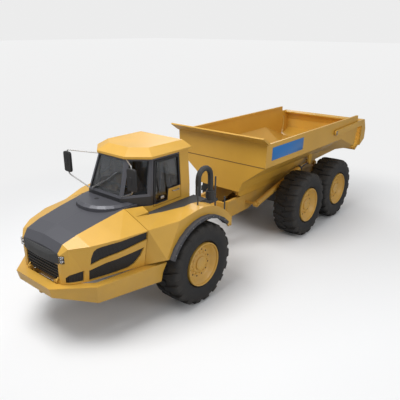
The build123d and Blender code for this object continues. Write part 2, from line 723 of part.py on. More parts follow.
def walkway():
    x = HOOD_SPLIT - HOOD_GAP
    edge = DECK_REAR_Y - RUN_GAP
    outline = [(x, 850), (x, 893), (640, DECK_MID_Y - RUN_GAP), (170, edge), (CAB_REAR - 130, edge),
               (CAB_REAR - 130, CAB_Y), (CAB_CORNER_X, CAB_Y)]
    return plan_plate(outline, DECK_Z, DECK_Z + DECK_T)


def cowl():
    x = HOOD_SPLIT - HOOD_GAP
    body = dome_disc(0, COWL_LOW, COWL_TOP - 40)
    body += ruled(ring3(DOME_R, DOME_SIDES, COWL_TOP - 40), ring3(DOME_R - 60, DOME_SIDES, COWL_TOP))
    body &= box(900, 2000, -700, 700, COWL_LOW - 1, COWL_TOP + 1)
    side = [(905, 560), (905, 655), (x, 650), (x, -650), (905, -655), (905, -560)]
    body += plan_plate(side, COWL_LOW + 10, COWL_TOP - 55)
    hole = [(x, y) for x, y, _ in cab_plan(CAB_WAIST, -1)]
    body -= plan_plate(hole, COWL_LOW - 10, COWL_TOP + 10)
    return body


def ring3(radius, sides, z):
    turns = [2 * pi * i / sides for i in range(sides)]
    return [(DOME_X + radius * cos(a), radius * sin(a), z) for a in turns]


def mirrors():
    head_top = CAB_ROOF - 10
    head_low = head_top - MIRROR_H
    top, low = (MIRROR_X, MIRROR_Y, CAB_ROOF + 30), (MIRROR_X, MIRROR_Y, head_low - 40)
    arms = bar((MIRROR_X, MIRROR_Y, low[2] - 30), (MIRROR_X, MIRROR_Y, top[2] + 30), 18, 6)
    arms += bar((CAB_TOP_FRONT - 20, CAB_TOP_FRONT_Y - 10, CAB_ROOF - 20), top, 14, 6)
    arms += bar((CAB_FRONT - 20, CAB_FRONT_Y - 15, CAB_WAIST + 20), low, 14, 6)
    arms += box(MIRROR_X - 27, MIRROR_X + 27, MIRROR_Y - 110, MIRROR_Y + 110, head_low, head_top)
    return Compound(both(arms - cab_block()))


def handrails(fender_shape):
    posts = []
    for x, y, height in RAIL_POSTS:
        foot = TYRE_R + (FENDER_R ** 2 - x ** 2) ** 0.5
        posts.append(bar((x, y, foot - 20), (x, y, foot + height), RAIL_POST_R, 8) - fender_shape)
    return Compound(posts + [mirrored(post) for post in posts])


def intake_pipe():
    centre_x = (PIPE_X + CAN_X) / 2
    bend = (PIPE_X - CAN_X) / 2
    run = [(PIPE_X, RAIL_TOP + 60, 0), (PIPE_X, PIPE_TOP - bend, 0)]
    run += [(centre_x + bend * cos(a), PIPE_TOP - bend + bend * sin(a), a)
            for a in (pi * i / 8 for i in range(1, 8))]
    run += [(CAN_X, PIPE_TOP - bend, pi), (CAN_X, CAN_TOP - 1, pi)]
    rings = []
    for x, z, turn in run:
        ring = []
        for a in (2 * pi * k / 10 for k in range(10)):
            out = PIPE_R * cos(a)
            ring.append((x + out * cos(turn), PIPE_Y + PIPE_R * sin(a), z + out * sin(turn)))
        rings.append(ring)
    body = ruled(*rings)
    body += box(-FRAME_REAR + 2, PIPE_X + 260, RAIL_Y - 30, PIPE_Y + 80, RAIL_TOP, RAIL_TOP + 61)
    body += bar((CAN_X, PIPE_Y, CAN_LOW), (CAN_X, PIPE_Y, CAN_TOP), 110)
    body += box(CAN_X - 140, PIPE_X + 40, PIPE_Y - 120, PIPE_Y + 110, CAN_LOW - 60, CAN_LOW + 1)
    return body + box(PIPE_X - 60, PIPE_X + 40, RAIL_Y - 30, PIPE_Y + 80, RAIL_TOP + 60, CAN_LOW - 59)


# Hitch, rear frame, bogie

def hitch_yoke():
    low, high = EAR_LOW + EAR_T + 6, EAR_HIGH - 6
    body = bar((HITCH_X, 0, low), (HITCH_X, 0, high), EAR_R - 5, 16)
    body += box(YOKE_END, HITCH_X - 40, -YOKE_Y, YOKE_Y, 840, 1150)
    wing_top = STEER_Z - STEER_EYE_T / 2 - SLACK
    for side in (1, -1):
        eye = round_end(HITCH_X - WING_BACK, side * WING_Y, 55, 0, side * 180)
        wing = [(HITCH_X + 30, side * 40)] + eye + [(HITCH_X - 250, side * 100)]
        body += plan_plate(wing, STEER_Z - 90, wing_top)
    body += bar((YOKE_END + 1, 0, ROLL_Z), (YOKE_END - 40, 0, ROLL_Z), ROLL_R, 20)
    body += bar((YOKE_END - 39, 0, ROLL_Z), (YOKE_END - 380, 0, ROLL_Z), TRUNNION_R, 16)
    body -= bored((HITCH_X, 0, low - 1), (HITCH_X, 0, high + 1), PIN_R + SLACK)
    return body


def rear_frame():
    web = [(REAR_RAIL_FRONT, 880), (REAR_RAIL_FRONT, REAR_RAIL_TOP), (TIP_X + 170, REAR_RAIL_TOP),
           (TIP_X + 130, 1270), (REAR_RAIL_END, 1270), (REAR_RAIL_END, REAR_RAIL_BOTTOM),
           (-3600, REAR_RAIL_BOTTOM), (-3150, 900)]
    y0, y1 = REAR_RAIL_Y - REAR_RAIL_W / 2, REAR_RAIL_Y + REAR_RAIL_W / 2
    body = side_plate(web, y0, y1)
    body += mirrored(body)
    for x, w in ((REAR_RAIL_FRONT - 80, 80), (-3700, 100), (-5460, 100), (REAR_RAIL_END + 10, 90)):
        body += box(x, x + w, -y0 - 1, y0 + 1, REAR_RAIL_BOTTOM + 10, 1260)
    jaw = [(REAR_RAIL_END + 20, 1045), (REAR_RAIL_END + 20, 1200)] + round_end(JAW_X, JAW_Z, JAW_R, 100, 260)
    for y in (JAW_Y, -JAW_Y - JAW_T):
        body += side_plate(jaw, y, y + JAW_T) - rod((JAW_X, y - 1, JAW_Z), (JAW_X, y + JAW_T + 1, JAW_Z), TOW_R)
    sleeve_front = YOKE_END - 40 - RUN_GAP
    body += bar((sleeve_front, 0, ROLL_Z), (REAR_RAIL_FRONT - 40, 0, ROLL_Z), ROLL_R, 20)
    body -= bored((sleeve_front + 1, 0, ROLL_Z), (YOKE_END - 400, 0, ROLL_Z), TRUNNION_R + SLACK, 16)
    for side in (1, -1):
        for y in (y0 - 2 * EAR_GAP - TIP_EAR_T, y1 + 2 * EAR_GAP):
            ear = side_plate([(TIP_X - 90, REAR_RAIL_BOTTOM + 60), (TIP_X + 90, REAR_RAIL_BOTTOM + 60),
                              (TIP_X + 60, TIP_Z + 40), (TIP_X, TIP_Z + 75), (TIP_X - 60, TIP_Z + 40)],
                             side * y, side * (y + TIP_EAR_T))
            body += ear
        for y in (y0 - 2 * EAR_GAP - 1, y1 - 1):
            body += box(TIP_X - 85, TIP_X + 85, side * y, side * (y + 2 * EAR_GAP + 2),
                        REAR_RAIL_BOTTOM + 61, 1260)
        ends = [(TIP_X, side * y, TIP_Z) for y in (y0 - 2 * EAR_GAP - 1, y1 + 2 * EAR_GAP + 1)]
        body += bar(*ends, TIP_PIN_R)
        body += bar((HOIST_LOW[0], side * (y1 - 1), HOIST_LOW[1]),
                    (HOIST_LOW[0], side * (HOIST_Y + 85), HOIST_LOW[1]), TIP_PIN_R)
    return body


def bogie_beams():
    mid, rear = WHEELS["mid"], WHEELS["rear"]
    centre = (mid + rear) / 2
    top = TYRE_R + AXLE_H / 2
    outline = [(mid + 110, top), (mid - 110, top), (centre + 260, top - 70), (centre - 260, top - 70),
               (rear + 110, top), (rear - 110, top), (rear - 110, top + 90), (centre - 160, top + 170),
               (centre + 160, top + 170), (mid + 110, top + 90)]
    beams = []
    for side in (1, -1):
        beam = side_plate(outline, side * BEAM_Y, side * (BEAM_Y + BEAM_W))
        beam += bar((centre, side * (REAR_RAIL_Y + REAR_RAIL_W / 2), top + 60),
                    (centre, side * (BEAM_Y + 1), top + 60), 80)
        beams.append(beam)
    return Compound(beams)


def propshafts():
    mid, rear = WHEELS["mid"], WHEELS["rear"]
    front = bar((-3715, 0, 1090), (mid + DIFF_L / 2 + 15, 0, TYRE_R), 45)
    back = bar((mid - DIFF_L / 2 - RUN_GAP, 0, TYRE_R), (rear + DIFF_L / 2 + RUN_GAP, 0, TYRE_R), 45)
    return Compound([front, back])


# Bed and tailgate

def bed_ring(x, half):
    return [(x, y, z) for y, z in half] + [(x, -y, z) for y, z in reversed(half)]


def bed():
    t = BED_T
    main = [(BED_Y, BED_TOP), (BED_Y - 23, BED_CREASE), BED_KNEE, (BED_FLOOR_Y, BED_FLOOR)]
    tail = [(BED_Y, BED_TOP), (BED_Y - 23, BED_CREASE), (1250, 1850), (900, TAIL_LIP[1])]
    inner_main = [(BED_Y - t, BED_TOP + 1), (BED_Y - 23 - t, BED_CREASE + 8),
                  (BED_KNEE[0] - 30, BED_KNEE[1] + 24), (BED_FLOOR_Y - 22, BED_FLOOR + t)]
    inner_tail = [(BED_Y - t, BED_TOP + 1), (BED_Y - 23 - t, BED_CREASE + 8), (1250 - 30, 1850 + 30),
                  (885, TAIL_LIP[1] + t)]
    end = TAIL_LIP[0] - 165
    k = (end - TAIL_RISE_X) / (TAIL_LIP[0] - TAIL_RISE_X)

    def stretched(a, b):
        return [(ya + k * (yb - ya), za + k * (zb - za)) for (ya, za), (yb, zb) in zip(a, b)]

    outer = ruled(bed_ring(BED_FRONT, main), bed_ring(TAIL_RISE_X, main), bed_ring(end, stretched(main, tail)))
    inner = ruled(bed_ring(BED_FRONT - t, inner_main), bed_ring(TAIL_RISE_X, inner_main),
                  bed_ring(end - 1, stretched(inner_main, inner_tail)))
    body = outer - inner
    lip = TAIL_LIP[0]
    cut = [(lip - 15, BED_TOP + 10), (lip - 125, 2450), (lip, TAIL_LIP[1] - 60), (lip - 365, 1500),
           (lip - 365, BED_TOP + 10)]
    body -= side_plate(cut, -1500, 1500)
    for side in (1, -1):
        body += box(lip - 5, BED_FRONT, side * (BED_Y - BED_RAIL), side * (BED_Y - 1),
                    BED_TOP - BED_RAIL, BED_TOP)
        y0, y1 = side * (REAR_RAIL_Y - REAR_RAIL_W / 2), side * (REAR_RAIL_Y + REAR_RAIL_W / 2)
        runner = [(BED_FRONT - 200, BED_FLOOR + 1), (BED_FRONT - 200, REAR_RAIL_TOP + 60),
                  (BED_FRONT - 300, REAR_RAIL_TOP + 6), (TIP_X + 230, REAR_RAIL_TOP + 6),
                  (TIP_X + 75, TIP_Z - 30), (TIP_X + 20, TIP_Z - 72), (TIP_X - 50, TIP_Z - 50),
                  (TIP_X - 75, TIP_Z), (TIP_X - 60, BED_FLOOR + 1)]
        body += side_plate(runner, y0, y1)
        body -= bored((TIP_X, y0 - side, TIP_Z), (TIP_X, y1 + side, TIP_Z), TIP_PIN_R + SLACK)
        plate = [(HOIST_TOP[0] - 80, HOIST_TOP[1]), (HOIST_TOP[0], HOIST_TOP[1] - 75),
                 (HOIST_TOP[0] + 80, HOIST_TOP[1]), (HOIST_TOP[0] + 110, 1960), (HOIST_TOP[0] - 110, 1960)]
        body += side_plate(plate, side * (HOIST_Y + EYE_T / 2 + SLACK), side * (HOIST_Y + EYE_T / 2 + 40))
        pin_in, pin_out = side * (BED_Y - 30), side * (GATE_ARM_Y + GATE_ARM_T + 15)
        body += bar((GATE_X, pin_in, GATE_Z), (GATE_X, pin_out, GATE_Z), GATE_PIN_R)
    visor = [(BED_FRONT - 40, BED_TOP - 1), (BED_FRONT, BED_TOP - 1), (VISOR[0], VISOR[2]),
             (VISOR[0] - 25, VISOR[2] + 25), (BED_FRONT - 40, BED_TOP + 40)]
    return body + side_plate(visor, -VISOR[1], VISOR[1])


def tailgate():
    lip, lip_z = TAIL_LIP
    rear = lip - GATE_DEPTH
    outer = [(rear + 290, GATE_TOP - 35), (rear + 140, GATE_TOP), (rear, GATE_TOP - 310),
             (rear + 10, GATE_TOP - 636), (lip - 40, lip_z - 28)]
    inner = [(lip - 30, lip_z + 12), (rear + 50, GATE_TOP - 610), (rear + 38, GATE_TOP - 320),
             (rear + 165, GATE_TOP - 45), (rear + 285, GATE_TOP - 70)]
    body = side_plate(outer + inner, -GATE_ARM_Y, GATE_ARM_Y)
    arm = [(GATE_X + 75, GATE_Z + 30), (GATE_X + 40, GATE_Z + 75), (rear + 280, GATE_TOP),
           (rear + 145, GATE_TOP - 1), (rear + 50, GATE_TOP - 220), (rear + 340, GATE_TOP - 180),
           (GATE_X - 1230, GATE_TOP - 180), (GATE_X - 300, GATE_Z - 90), (GATE_X, GATE_Z - 75),
           (GATE_X + 60, GATE_Z - 40)]
    cheek = [(rear + 380, GATE_TOP - 10), (rear + 140, GATE_TOP), (rear, GATE_TOP - 310),
             (rear + 10, GATE_TOP - 636), (rear + 340, GATE_TOP - 810), (rear + 310, GATE_TOP - 200)]
    for side in (1, -1):
        y0, y1 = side * GATE_ARM_Y, side * (GATE_ARM_Y + GATE_ARM_T)
        plate = side_plate(arm, y0, y1) + side_plate(cheek, y0 - side, y1)
        hole = (GATE_X, y0 - side * 5, GATE_Z), (GATE_X, y1 + side * 5, GATE_Z)
        body += plate - bored(*hole, GATE_PIN_R + SLACK)
    return body


# Cylinders

def cylinder_pair(base, tip, barrel, shaft, pin_r, eye_r, eye_t, across):
    (barrel_r, barrel_l), (rod_r, rod_l) = barrel, shaft
    base, tip, eye_axis = Vector(*base), Vector(*tip), Vector(*across)
    way = (tip - base).normalized()
    half_eye = eye_axis * (eye_t / 2)
    barrel = bar(base + way * (0.6 * eye_r), base + way * barrel_l, barrel_r, 14)
    barrel -= bored(base + way * (eye_r + 20), tip, rod_r + SLACK, 10)
    bore = bored(base - eye_axis * (2 * barrel_r), base + eye_axis * (2 * barrel_r), pin_r + SLACK, 10)
    barrel = (barrel - bore) + (bar(base - half_eye, base + half_eye, eye_r) - bore)
    shaft = bar(tip - way * rod_l, tip - way * (0.5 * eye_r), rod_r, 10)
    return barrel, shaft + bar(tip - half_eye, tip + half_eye, eye_r)


def steering_cylinders():
    made = {}
    for name, side in (("left", 1), ("right", -1)):
        base = (STEER_X, side * STEER_Y, STEER_Z)
        tip = (HITCH_X - WING_BACK, side * WING_Y, STEER_Z)
        pair = cylinder_pair(base, tip, (STEER_BARREL_R, STEER_BARREL_L), (STEER_ROD_R, STEER_ROD_L),
                             STEER_PIN_R, 50, STEER_EYE_T, (0, 0, 1))
        made[f"steer_barrel_{name}"], made[f"steer_rod_{name}"] = pair
    return made


def hoist_cylinders():
    made = {}
    for name, side in (("left", 1), ("right", -1)):
        base = (HOIST_LOW[0], side * HOIST_Y, HOIST_LOW[1])
        tip = (HOIST_TOP[0], side * HOIST_Y, HOIST_TOP[1])
        pair = cylinder_pair(base, tip, (HOIST_BARREL_R, HOIST_BARREL_L), (HOIST_ROD_R, HOIST_ROD_L),
                             TIP_PIN_R, 70, EYE_T, (0, 1, 0))
        made[f"hoist_barrel_{name}"], made[f"hoist_rod_{name}"] = pair
    return made


def build():
    parts = {}
    tyre_shape, rim_shape = tyre(), rim()
    for axle_name, x in WHEELS.items():
        for side_name, side in (("left", 1), ("right", -1)):
            parts[f"tyre_{axle_name}_{side_name}"] = placed_wheel(tyre_shape, x, side)
            parts[f"rim_{axle_name}_{side_name}"] = placed_wheel(rim_shape, x, side)
        parts[f"{axle_name}_axle"] = axle(x)
    parts["front_frame"] = front_frame()
    parts["steer_brackets"] = steer_brackets()
    parts["front_suspension"] = front_suspension()
    parts["engine_block"] = box(ENGINE_X0, ENGINE_X1, -ENGINE_W / 2, ENGINE_W / 2, RAIL_TOP, ENGINE_TOP)
    parts["bumper"] = bumper()
    parts.update(hood_pieces())
    parts.update(cab_pieces())
    parts["seat"] = seat()
    parts["dashboard"] = dashboard()
    parts["steering_wheel"] = steering_wheel()
    fender_shape = fender()
    parts["fenders"] = Compound(both(fender_shape))
    parts["flares"] = Compound(both(flare()))
    parts["walkways"] = Compound(both(walkway()))
    parts["cowl"] = cowl()
    parts["mirrors"] = mirrors()
    parts["handrails"] = handrails(fender_shape)
    parts["intake_pipe"] = intake_pipe()
    parts["hitch_yoke"] = hitch_yoke()
    parts["rear_frame"] = rear_frame()
    parts["bogie_beams"] = bogie_beams()
    parts["propshafts"] = propshafts()
    parts["bed"] = bed()
    parts["tailgate"] = tailgate()
    parts.update(steering_cylinders())
    parts.update(hoist_cylinders())
    return parts


os.makedirs("parts", exist_ok=True)
for node, shape in build().items():
    moved = [Pos(ORIGIN_SHIFT, 0, 0) * solid for solid in shape.solids()]
    export_step(moved[0] if len(moved) == 1 else Compound(moved), f"parts/{node}.step")
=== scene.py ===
# %% [markdown]
# # An articulated dump truck
#
# The truck has two halves that are joined by a steering hitch. The front half carries
# the engine and the cab, and the rear half carries the tipping bed. The plain solids
# come from the CAD model. This lesson dresses them: tyres with real lugs, dished rims,
# a smooth hood, a padded seat, lamps, mirrors, and painted metal with some dust on it.

# %% Load the frame
import math

import bmesh
import bpy
from mathutils import Matrix, Vector


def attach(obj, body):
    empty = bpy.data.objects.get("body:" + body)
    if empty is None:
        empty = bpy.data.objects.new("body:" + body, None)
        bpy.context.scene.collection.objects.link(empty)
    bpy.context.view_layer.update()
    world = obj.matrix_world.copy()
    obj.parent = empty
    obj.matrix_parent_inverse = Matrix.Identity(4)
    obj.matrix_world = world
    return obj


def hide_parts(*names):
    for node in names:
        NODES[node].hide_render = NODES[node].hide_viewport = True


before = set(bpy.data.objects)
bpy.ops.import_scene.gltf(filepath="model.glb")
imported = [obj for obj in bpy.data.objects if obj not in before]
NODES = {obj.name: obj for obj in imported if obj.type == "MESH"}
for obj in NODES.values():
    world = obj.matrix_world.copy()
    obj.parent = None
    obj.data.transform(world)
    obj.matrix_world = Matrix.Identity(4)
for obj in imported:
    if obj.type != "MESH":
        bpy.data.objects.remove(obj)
PLAIN = dict(bpy.data.materials.items())  # the frame's own materials, one even colour each
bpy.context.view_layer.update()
AXLE_X = 2.725  # the front axle, forward of the middle of the truck
SIDES = ((1, "left"), (-1, "right"))
print("pieces from the CAD model:", len(NODES))


def at(x, y, z):
    """A point given from the front axle, in metres, in the frame of the whole truck."""
    return Vector((x + AXLE_X, y, z))


# %% [markdown]
# ## The camera
#
# The photo looks down on the front left corner. The camera is set once, by its place
# and its angles: a turn round the truck, a height above the horizon and a small roll.

# %% Camera
PHOTO_PX = 400
FOCAL_PX = 465.265
SENSOR_MM = 36.0


def aim_camera(place, turn, height, roll):
    camera = bpy.data.cameras.new("photo_camera")
    camera.sensor_width = SENSOR_MM
    camera.lens = FOCAL_PX * SENSOR_MM / PHOTO_PX
    holder = bpy.data.objects.new("photo_camera", camera)
    bpy.context.scene.collection.objects.link(holder)
    turn, height, roll = (math.radians(angle) for angle in (turn, height, roll))
    level = math.cos(height)
    back = Vector((math.cos(turn) * level, math.sin(turn) * level, math.sin(height)))
    right = Vector((0, 0, 1)).cross(back).normalized()
    up = back.cross(right)
    side = math.cos(roll) * right + math.sin(roll) * up
    top = -math.sin(roll) * right + math.cos(roll) * up
    turned = Matrix((side, top, back)).transposed().to_4x4()
    holder.matrix_world = Matrix.Translation(place) @ turned
    bpy.context.scene.camera = holder
    return camera


photo_camera = aim_camera(at(6.5396, 6.9161, 5.3887), turn=39.902, height=20.231, roll=0.282)
print("camera lens in mm:", round(photo_camera.lens, 2))

# %% [markdown]
# ## Soft studio light
#
# Three wide area lamps are enough for a machine of this size. A point lamp would cut
# hard shadows into the bed, so each lamp is a square of seven or eight metres. The one
# in front makes the sheen on the hood, the side one models the bed's flank, and the one
# behind lifts the tail off the floor.

# %% Lamps
bpy.context.scene.view_settings.view_transform = "Standard"
LAMPS = {  # place, target, width in metres, power in watts
    "key_lamp": ((7.0, -1.0, 13.0), (0.5, 0, 1.0), 7.0, 1350),
    "side_lamp": ((2.0, 14.0, 7.0), (-0.5, 0, 1.0), 7.0, 420),
    "back_lamp": ((-10.0, -8.0, 11.0), (0, 0, 1.5), 8.0, 450),
}


def area_lamp(name, place, target, size, power):
    lamp = bpy.data.lights.new(name, "AREA")
    lamp.size = size
    lamp.energy = power
    holder = bpy.data.objects.new(name, lamp)
    bpy.context.scene.collection.objects.link(holder)
    holder.location = place
    holder.rotation_mode = "QUATERNION"
    holder.rotation_quaternion = (Vector(target) - Vector(place)).to_track_quat("-Z", "Y")


for lamp_name, setting in LAMPS.items():
    area_lamp(lamp_name, *setting)
print("lamps:", len(bpy.data.lights))

# %% [markdown]
# ## Shader maths as plain expressions
#
# A material is a small sum: paint plus dust here, minus gloss there. One class wraps a
# socket, so that `dust * 0.5 + chips` adds its Math nodes by itself. Colours go through
# Mix and vectors through Vector Math, because a Math node would turn a colour grey.

# %% The socket class
class Wire:
    """The output of a node, with arithmetic that adds the node it needs."""

    def __init__(self, finish, socket):
        self.finish = finish
        self.socket = socket

    def _sum(self, operation, other, turned=False):
        first, second = (other, self) if turned else (self, other)
        kinds = [wire.socket.type for wire in (first, second) if isinstance(wire, Wire)]
        if "RGBA" in kinds:
            return self.finish.mix(1.0, first, second, blend=operation)
        if "VECTOR" in kinds:
            inputs = {0: spread(first), 1: spread(second)}
            return self.finish.node("VectorMath", {"operation": operation}, inputs)
        return self.finish.node("Math", {"operation": operation}, {0: first, 1: second})

    def __add__(self, other):
        return self._sum("ADD", other)

    def __radd__(self, other):
        return self._sum("ADD", other, True)

    def __sub__(self, other):
        return self._sum("SUBTRACT", other)

    def __rsub__(self, other):
        return self._sum("SUBTRACT", other, True)

    def __mul__(self, other):
        return self._sum("MULTIPLY", other)

    def __rmul__(self, other):
        return self._sum("MULTIPLY", other, True)

    def part(self, axis):
        """X, Y or Z of a vector, as a value."""
        return self.finish.node("SeparateXYZ", {}, {0: self}, out=axis)


def spread(value):
    """A plain number as a vector that is the same along X, Y and Z."""
    return (value,) * 3 if isinstance(value, (int, float)) else value


print("socket class ready")

# %% [markdown]
# ## One class for a finish
#
# Every other node comes from one method, which sets the node's choices first and its
# inputs after. On top of it stand the few shapes that each finish here needs: a noise, a
# straight ramp, a mix of two colours and a bump.

# %% The finish class
class Finish:
    """One material with a Principled shader, built by short expressions."""

    def __init__(self, name, **settings):
        self.material = bpy.data.materials.new(name)
        self.material.use_nodes = True
        self.tree = self.material.node_tree
        self.shader = self.tree.nodes["Principled BSDF"]
        self.place = self.node("TexCoord", out="Object")
        for socket, value in settings.items():
            self.shader.inputs[socket.replace("_", " ")].default_value = value

    def node(self, kind, settings=None, inputs=None, out=0):
        made = self.tree.nodes.new("ShaderNode" + kind)
        for key, value in (settings or {}).items():
            setattr(made, key, value)
        for key, value in (inputs or {}).items():
            if isinstance(value, Wire):
                self.tree.links.new(value.socket, made.inputs[key])
            else:
                made.inputs[key].default_value = value
        return Wire(self, made.outputs[out])

    def mix(self, factor, first, second, blend="MIX"):
        made = self.tree.nodes.new("ShaderNodeMix")
        made.data_type = "RGBA"
        made.blend_type = blend
        for index, value in ((0, factor), (6, first), (7, second)):
            if isinstance(value, Wire):
                self.tree.links.new(value.socket, made.inputs[index])
            elif index == 0:
                made.inputs[index].default_value = value
            else:
                made.inputs[index].default_value = (*spread(value)[:3], 1)
        return Wire(self, made.outputs[2])

    def noise(self, scale, detail=4.0, roughness=0.55, stretch=None):
        where = self.place
        if stretch:
            where = where * self.node("CombineXYZ", {}, dict(enumerate(stretch)))
        inputs = {"Vector": where, "Scale": scale, "Detail": detail, "Roughness": roughness}
        return self.node("TexNoise", {}, inputs)

    def ramp(self, value, low, high):
        """0 at low and beyond, 1 at high and beyond, and a straight line between."""
        return self.node("MapRange", {}, {"Value": value, "From Min": low, "From Max": high})

    def larger(self, first, second):
        return self.node("Math", {"operation": "MAXIMUM"}, {0: first, 1: second})

    def feed(self, **sockets):
        for socket, wire in sockets.items():
            self.tree.links.new(wire.socket, self.shader.inputs[socket.replace("_", " ")])

    def bump(self, height, strength=0.3, distance=0.004):
        inputs = {"Height": height, "Strength": strength, "Distance": distance}
        self.feed(Normal=self.node("Bump", {}, inputs))
        return self.material


def shaded(colour, share):
    """The same colour, darker or lighter."""
    return tuple(min(1, c * share) for c in colour)


print("finish class ready")

# %% [markdown]
# ## Painted metal
#
# Machine paint is never one flat colour. Slow patches shift its shade a little, dust
# settles low down and in specks, and the gloss breaks up where hands and rain have been.
# The same recipe makes the warm yellow, the two frame paints and the blue.

# %% Painted metal
DUST = (0.30, 0.23, 0.15)


def painted(name, colour, gloss=0.38, dust=0.35, dust_top=1.6, coat=0.25, zone=None):
    """Paint that is dusty below dust_top; zone gives a second colour and where it is."""
    finish = Finish(name, Coat_Weight=coat, Coat_Roughness=0.2)
    patches = finish.noise(0.9, 3.0)
    specks = finish.noise(26.0, 6.0, 0.65)
    drifts = finish.ramp(finish.noise(3.1, 6.0, 0.6), 0.35, 0.75)
    settled = finish.ramp(finish.place.part("Z"), dust_top, 0.2) * drifts
    shade = finish.mix(finish.ramp(patches, 0.3, 0.7), shaded(colour, 0.90), shaded(colour, 1.06))
    if zone:
        second, where = zone
        shade = finish.mix(where(finish), shade, second)
    film = finish.ramp(specks, 0.55, 0.8) * 0.10 + settled * dust
    rough = film * 0.5 + finish.ramp(patches, 0.2, 0.9) * 0.10 + gloss
    finish.feed(Base_Color=finish.mix(film, shade, DUST), Roughness=rough)
    return finish.bump(finish.noise(160.0, 2.0) * 0.25 + specks * 0.2, 0.12, 0.003)


BODY_COLOUR = (0.66, 0.37, 0.050)
FRAME_COLOUR = (0.60, 0.33, 0.045)
YELLOW = painted("yellow_paint", BODY_COLOUR)
YELLOW_FRAME = painted("yellow_frame_paint", FRAME_COLOUR, gloss=0.48, dust=0.6, dust_top=2.2, coat=0.1)
FRAME_GREY = painted("frame_grey_paint", (0.05, 0.05, 0.052), gloss=0.5, dust=0.6, dust_top=1.5, coat=0.0)
BLUE_PLATE = painted("blue_plate_paint", (0.01, 0.17, 0.50), gloss=0.35, dust=0.1)
print("paints:", [paint.name for paint in (YELLOW, YELLOW_FRAME, FRAME_GREY, BLUE_PLATE)])

# %% [markdown]
# ## Two colours on one cab wall
#
# The cab's side is one sheet, but only its rear post, the step behind the door and the
# sill are yellow. A line painted by place keeps the sheet whole: the paint asks how far
# forward and how high a point is, and turns dark everywhere else.

# %% Cab paint
DARK_COLOUR = (0.020, 0.020, 0.022)
REAR_POST_X = -0.150
DOOR_STEP_X, DOOR_STEP_Z = 0.242, 2.392
SILL_TOP = 2.172
PAINT_EDGE = 0.004


def cab_dark_zone(finish):
    """1 where the cab wall is dark: all but the rear post, the step behind the door and the sill."""

    def under(value, edge):
        return finish.ramp(value, edge, edge - PAINT_EDGE)

    x, z = finish.place.part("X"), finish.place.part("Z")
    step = under(x, AXLE_X + DOOR_STEP_X) * under(z, DOOR_STEP_Z)
    lit = finish.larger(finish.larger(under(x, AXLE_X + REAR_POST_X), step), under(z, SILL_TOP))
    return 1.0 - lit


CAB_PAINT = painted("cab_paint", BODY_COLOUR, gloss=0.34, zone=(DARK_COLOUR, cab_dark_zone))
print("cab paint:", CAB_PAINT.name)

# %% [markdown]
# ## The worn floor of the bed
#
# Rock slides over the inside of the bed, so its paint is dull and scratched along the
# truck. A stretched noise gives the scratches, and they run the way the load slides.

# %% Bed paint
def bed_paint():
    finish = Finish("bed_paint", Coat_Weight=0.1, Coat_Roughness=0.3)
    patches = finish.ramp(finish.noise(0.8, 4.0), 0.3, 0.7)
    scratches = finish.noise(7.0, 8.0, 0.7, stretch=(0.25, 3.0, 3.0))
    shade = finish.mix(patches, FRAME_COLOUR, (0.68, 0.38, 0.052))
    worn = finish.ramp(scratches, 0.58, 0.78) * 0.35
    finish.feed(Base_Color=finish.mix(worn, shade, (0.46, 0.25, 0.07)), Roughness=worn * 0.4 + 0.42)
    return finish.bump(scratches, 0.15, 0.004)


BED_PAINT = bed_paint()
print("bed paint:", BED_PAINT.name)

# %% [markdown]
# ## Moulded plastic and tyre rubber
#
# Moulded parts have a fine even grain and a haze of dust. A tyre shows two more things:
# faint rings left by its mould, and dust that stays in the valleys between the lugs. The
# distance from the wheel's axis tells the valleys from the lug tops.

# %% Plastic and rubber
LUG_TOP, LUG_VALLEY = 0.872, 0.845
WALL_LOW, WALL_HIGH = 0.60, 0.80


def moulded(name, colour, rough=0.6, grain_scale=420.0):
    finish = Finish(name)
    patches = finish.noise(3.0, 4.0)
    haze = finish.ramp(patches, 0.35, 0.75) * 0.10
    finish.feed(Base_Color=finish.mix(haze, colour, (0.16, 0.14, 0.11)),
                Roughness=finish.ramp(patches, 0.2, 0.8) * 0.15 + rough)
    return finish.bump(finish.noise(grain_scale, 2.0), 0.25, 0.0012)


def tyre_rubber():
    finish = Finish("tyre_rubber")
    x, z = finish.place.part("X"), finish.place.part("Z")
    reach = finish.node("Math", {"operation": "SQRT"}, {0: x * x + z * z})
    dusty = finish.ramp(finish.noise(5.0, 6.0, 0.6), 0.35, 0.7)
    valley = finish.ramp(reach, LUG_TOP, LUG_VALLEY) * finish.ramp(reach, WALL_LOW, WALL_HIGH)
    film = dusty * 0.12 + valley * 0.22
    finish.feed(Base_Color=finish.mix(film, (0.009, 0.009, 0.010), (0.075, 0.062, 0.048)),
                Roughness=film * 0.25 + 0.62)
    rings = finish.node("TexWave", {"wave_type": "RINGS", "rings_direction": "Y"},
                        {"Vector": finish.place, "Scale": 9.0, "Distortion": 0.0})
    return finish.bump(finish.noise(210.0, 4.0) + rings * 0.5, 0.18, 0.002)


PLASTIC = moulded("black_plastic", (0.014, 0.014, 0.016))
RUBBER = moulded("flare_rubber", (0.060, 0.060, 0.068), rough=0.7, grain_scale=300.0)
TYRE = tyre_rubber()
print("moulded finishes:", PLASTIC.name, RUBBER.name, TYRE.name)

# %% [markdown]
# ## Glass and bright metal
#
# Cab glass is tinted, and smears of dust break its gloss. It is part see-through by its
# alpha, so that the seat behind it stays dim. The mirrors, the lamp bowls, the arms and
# the bolts are bright metal, rubbed one way, and a stretched noise gives the rub marks.

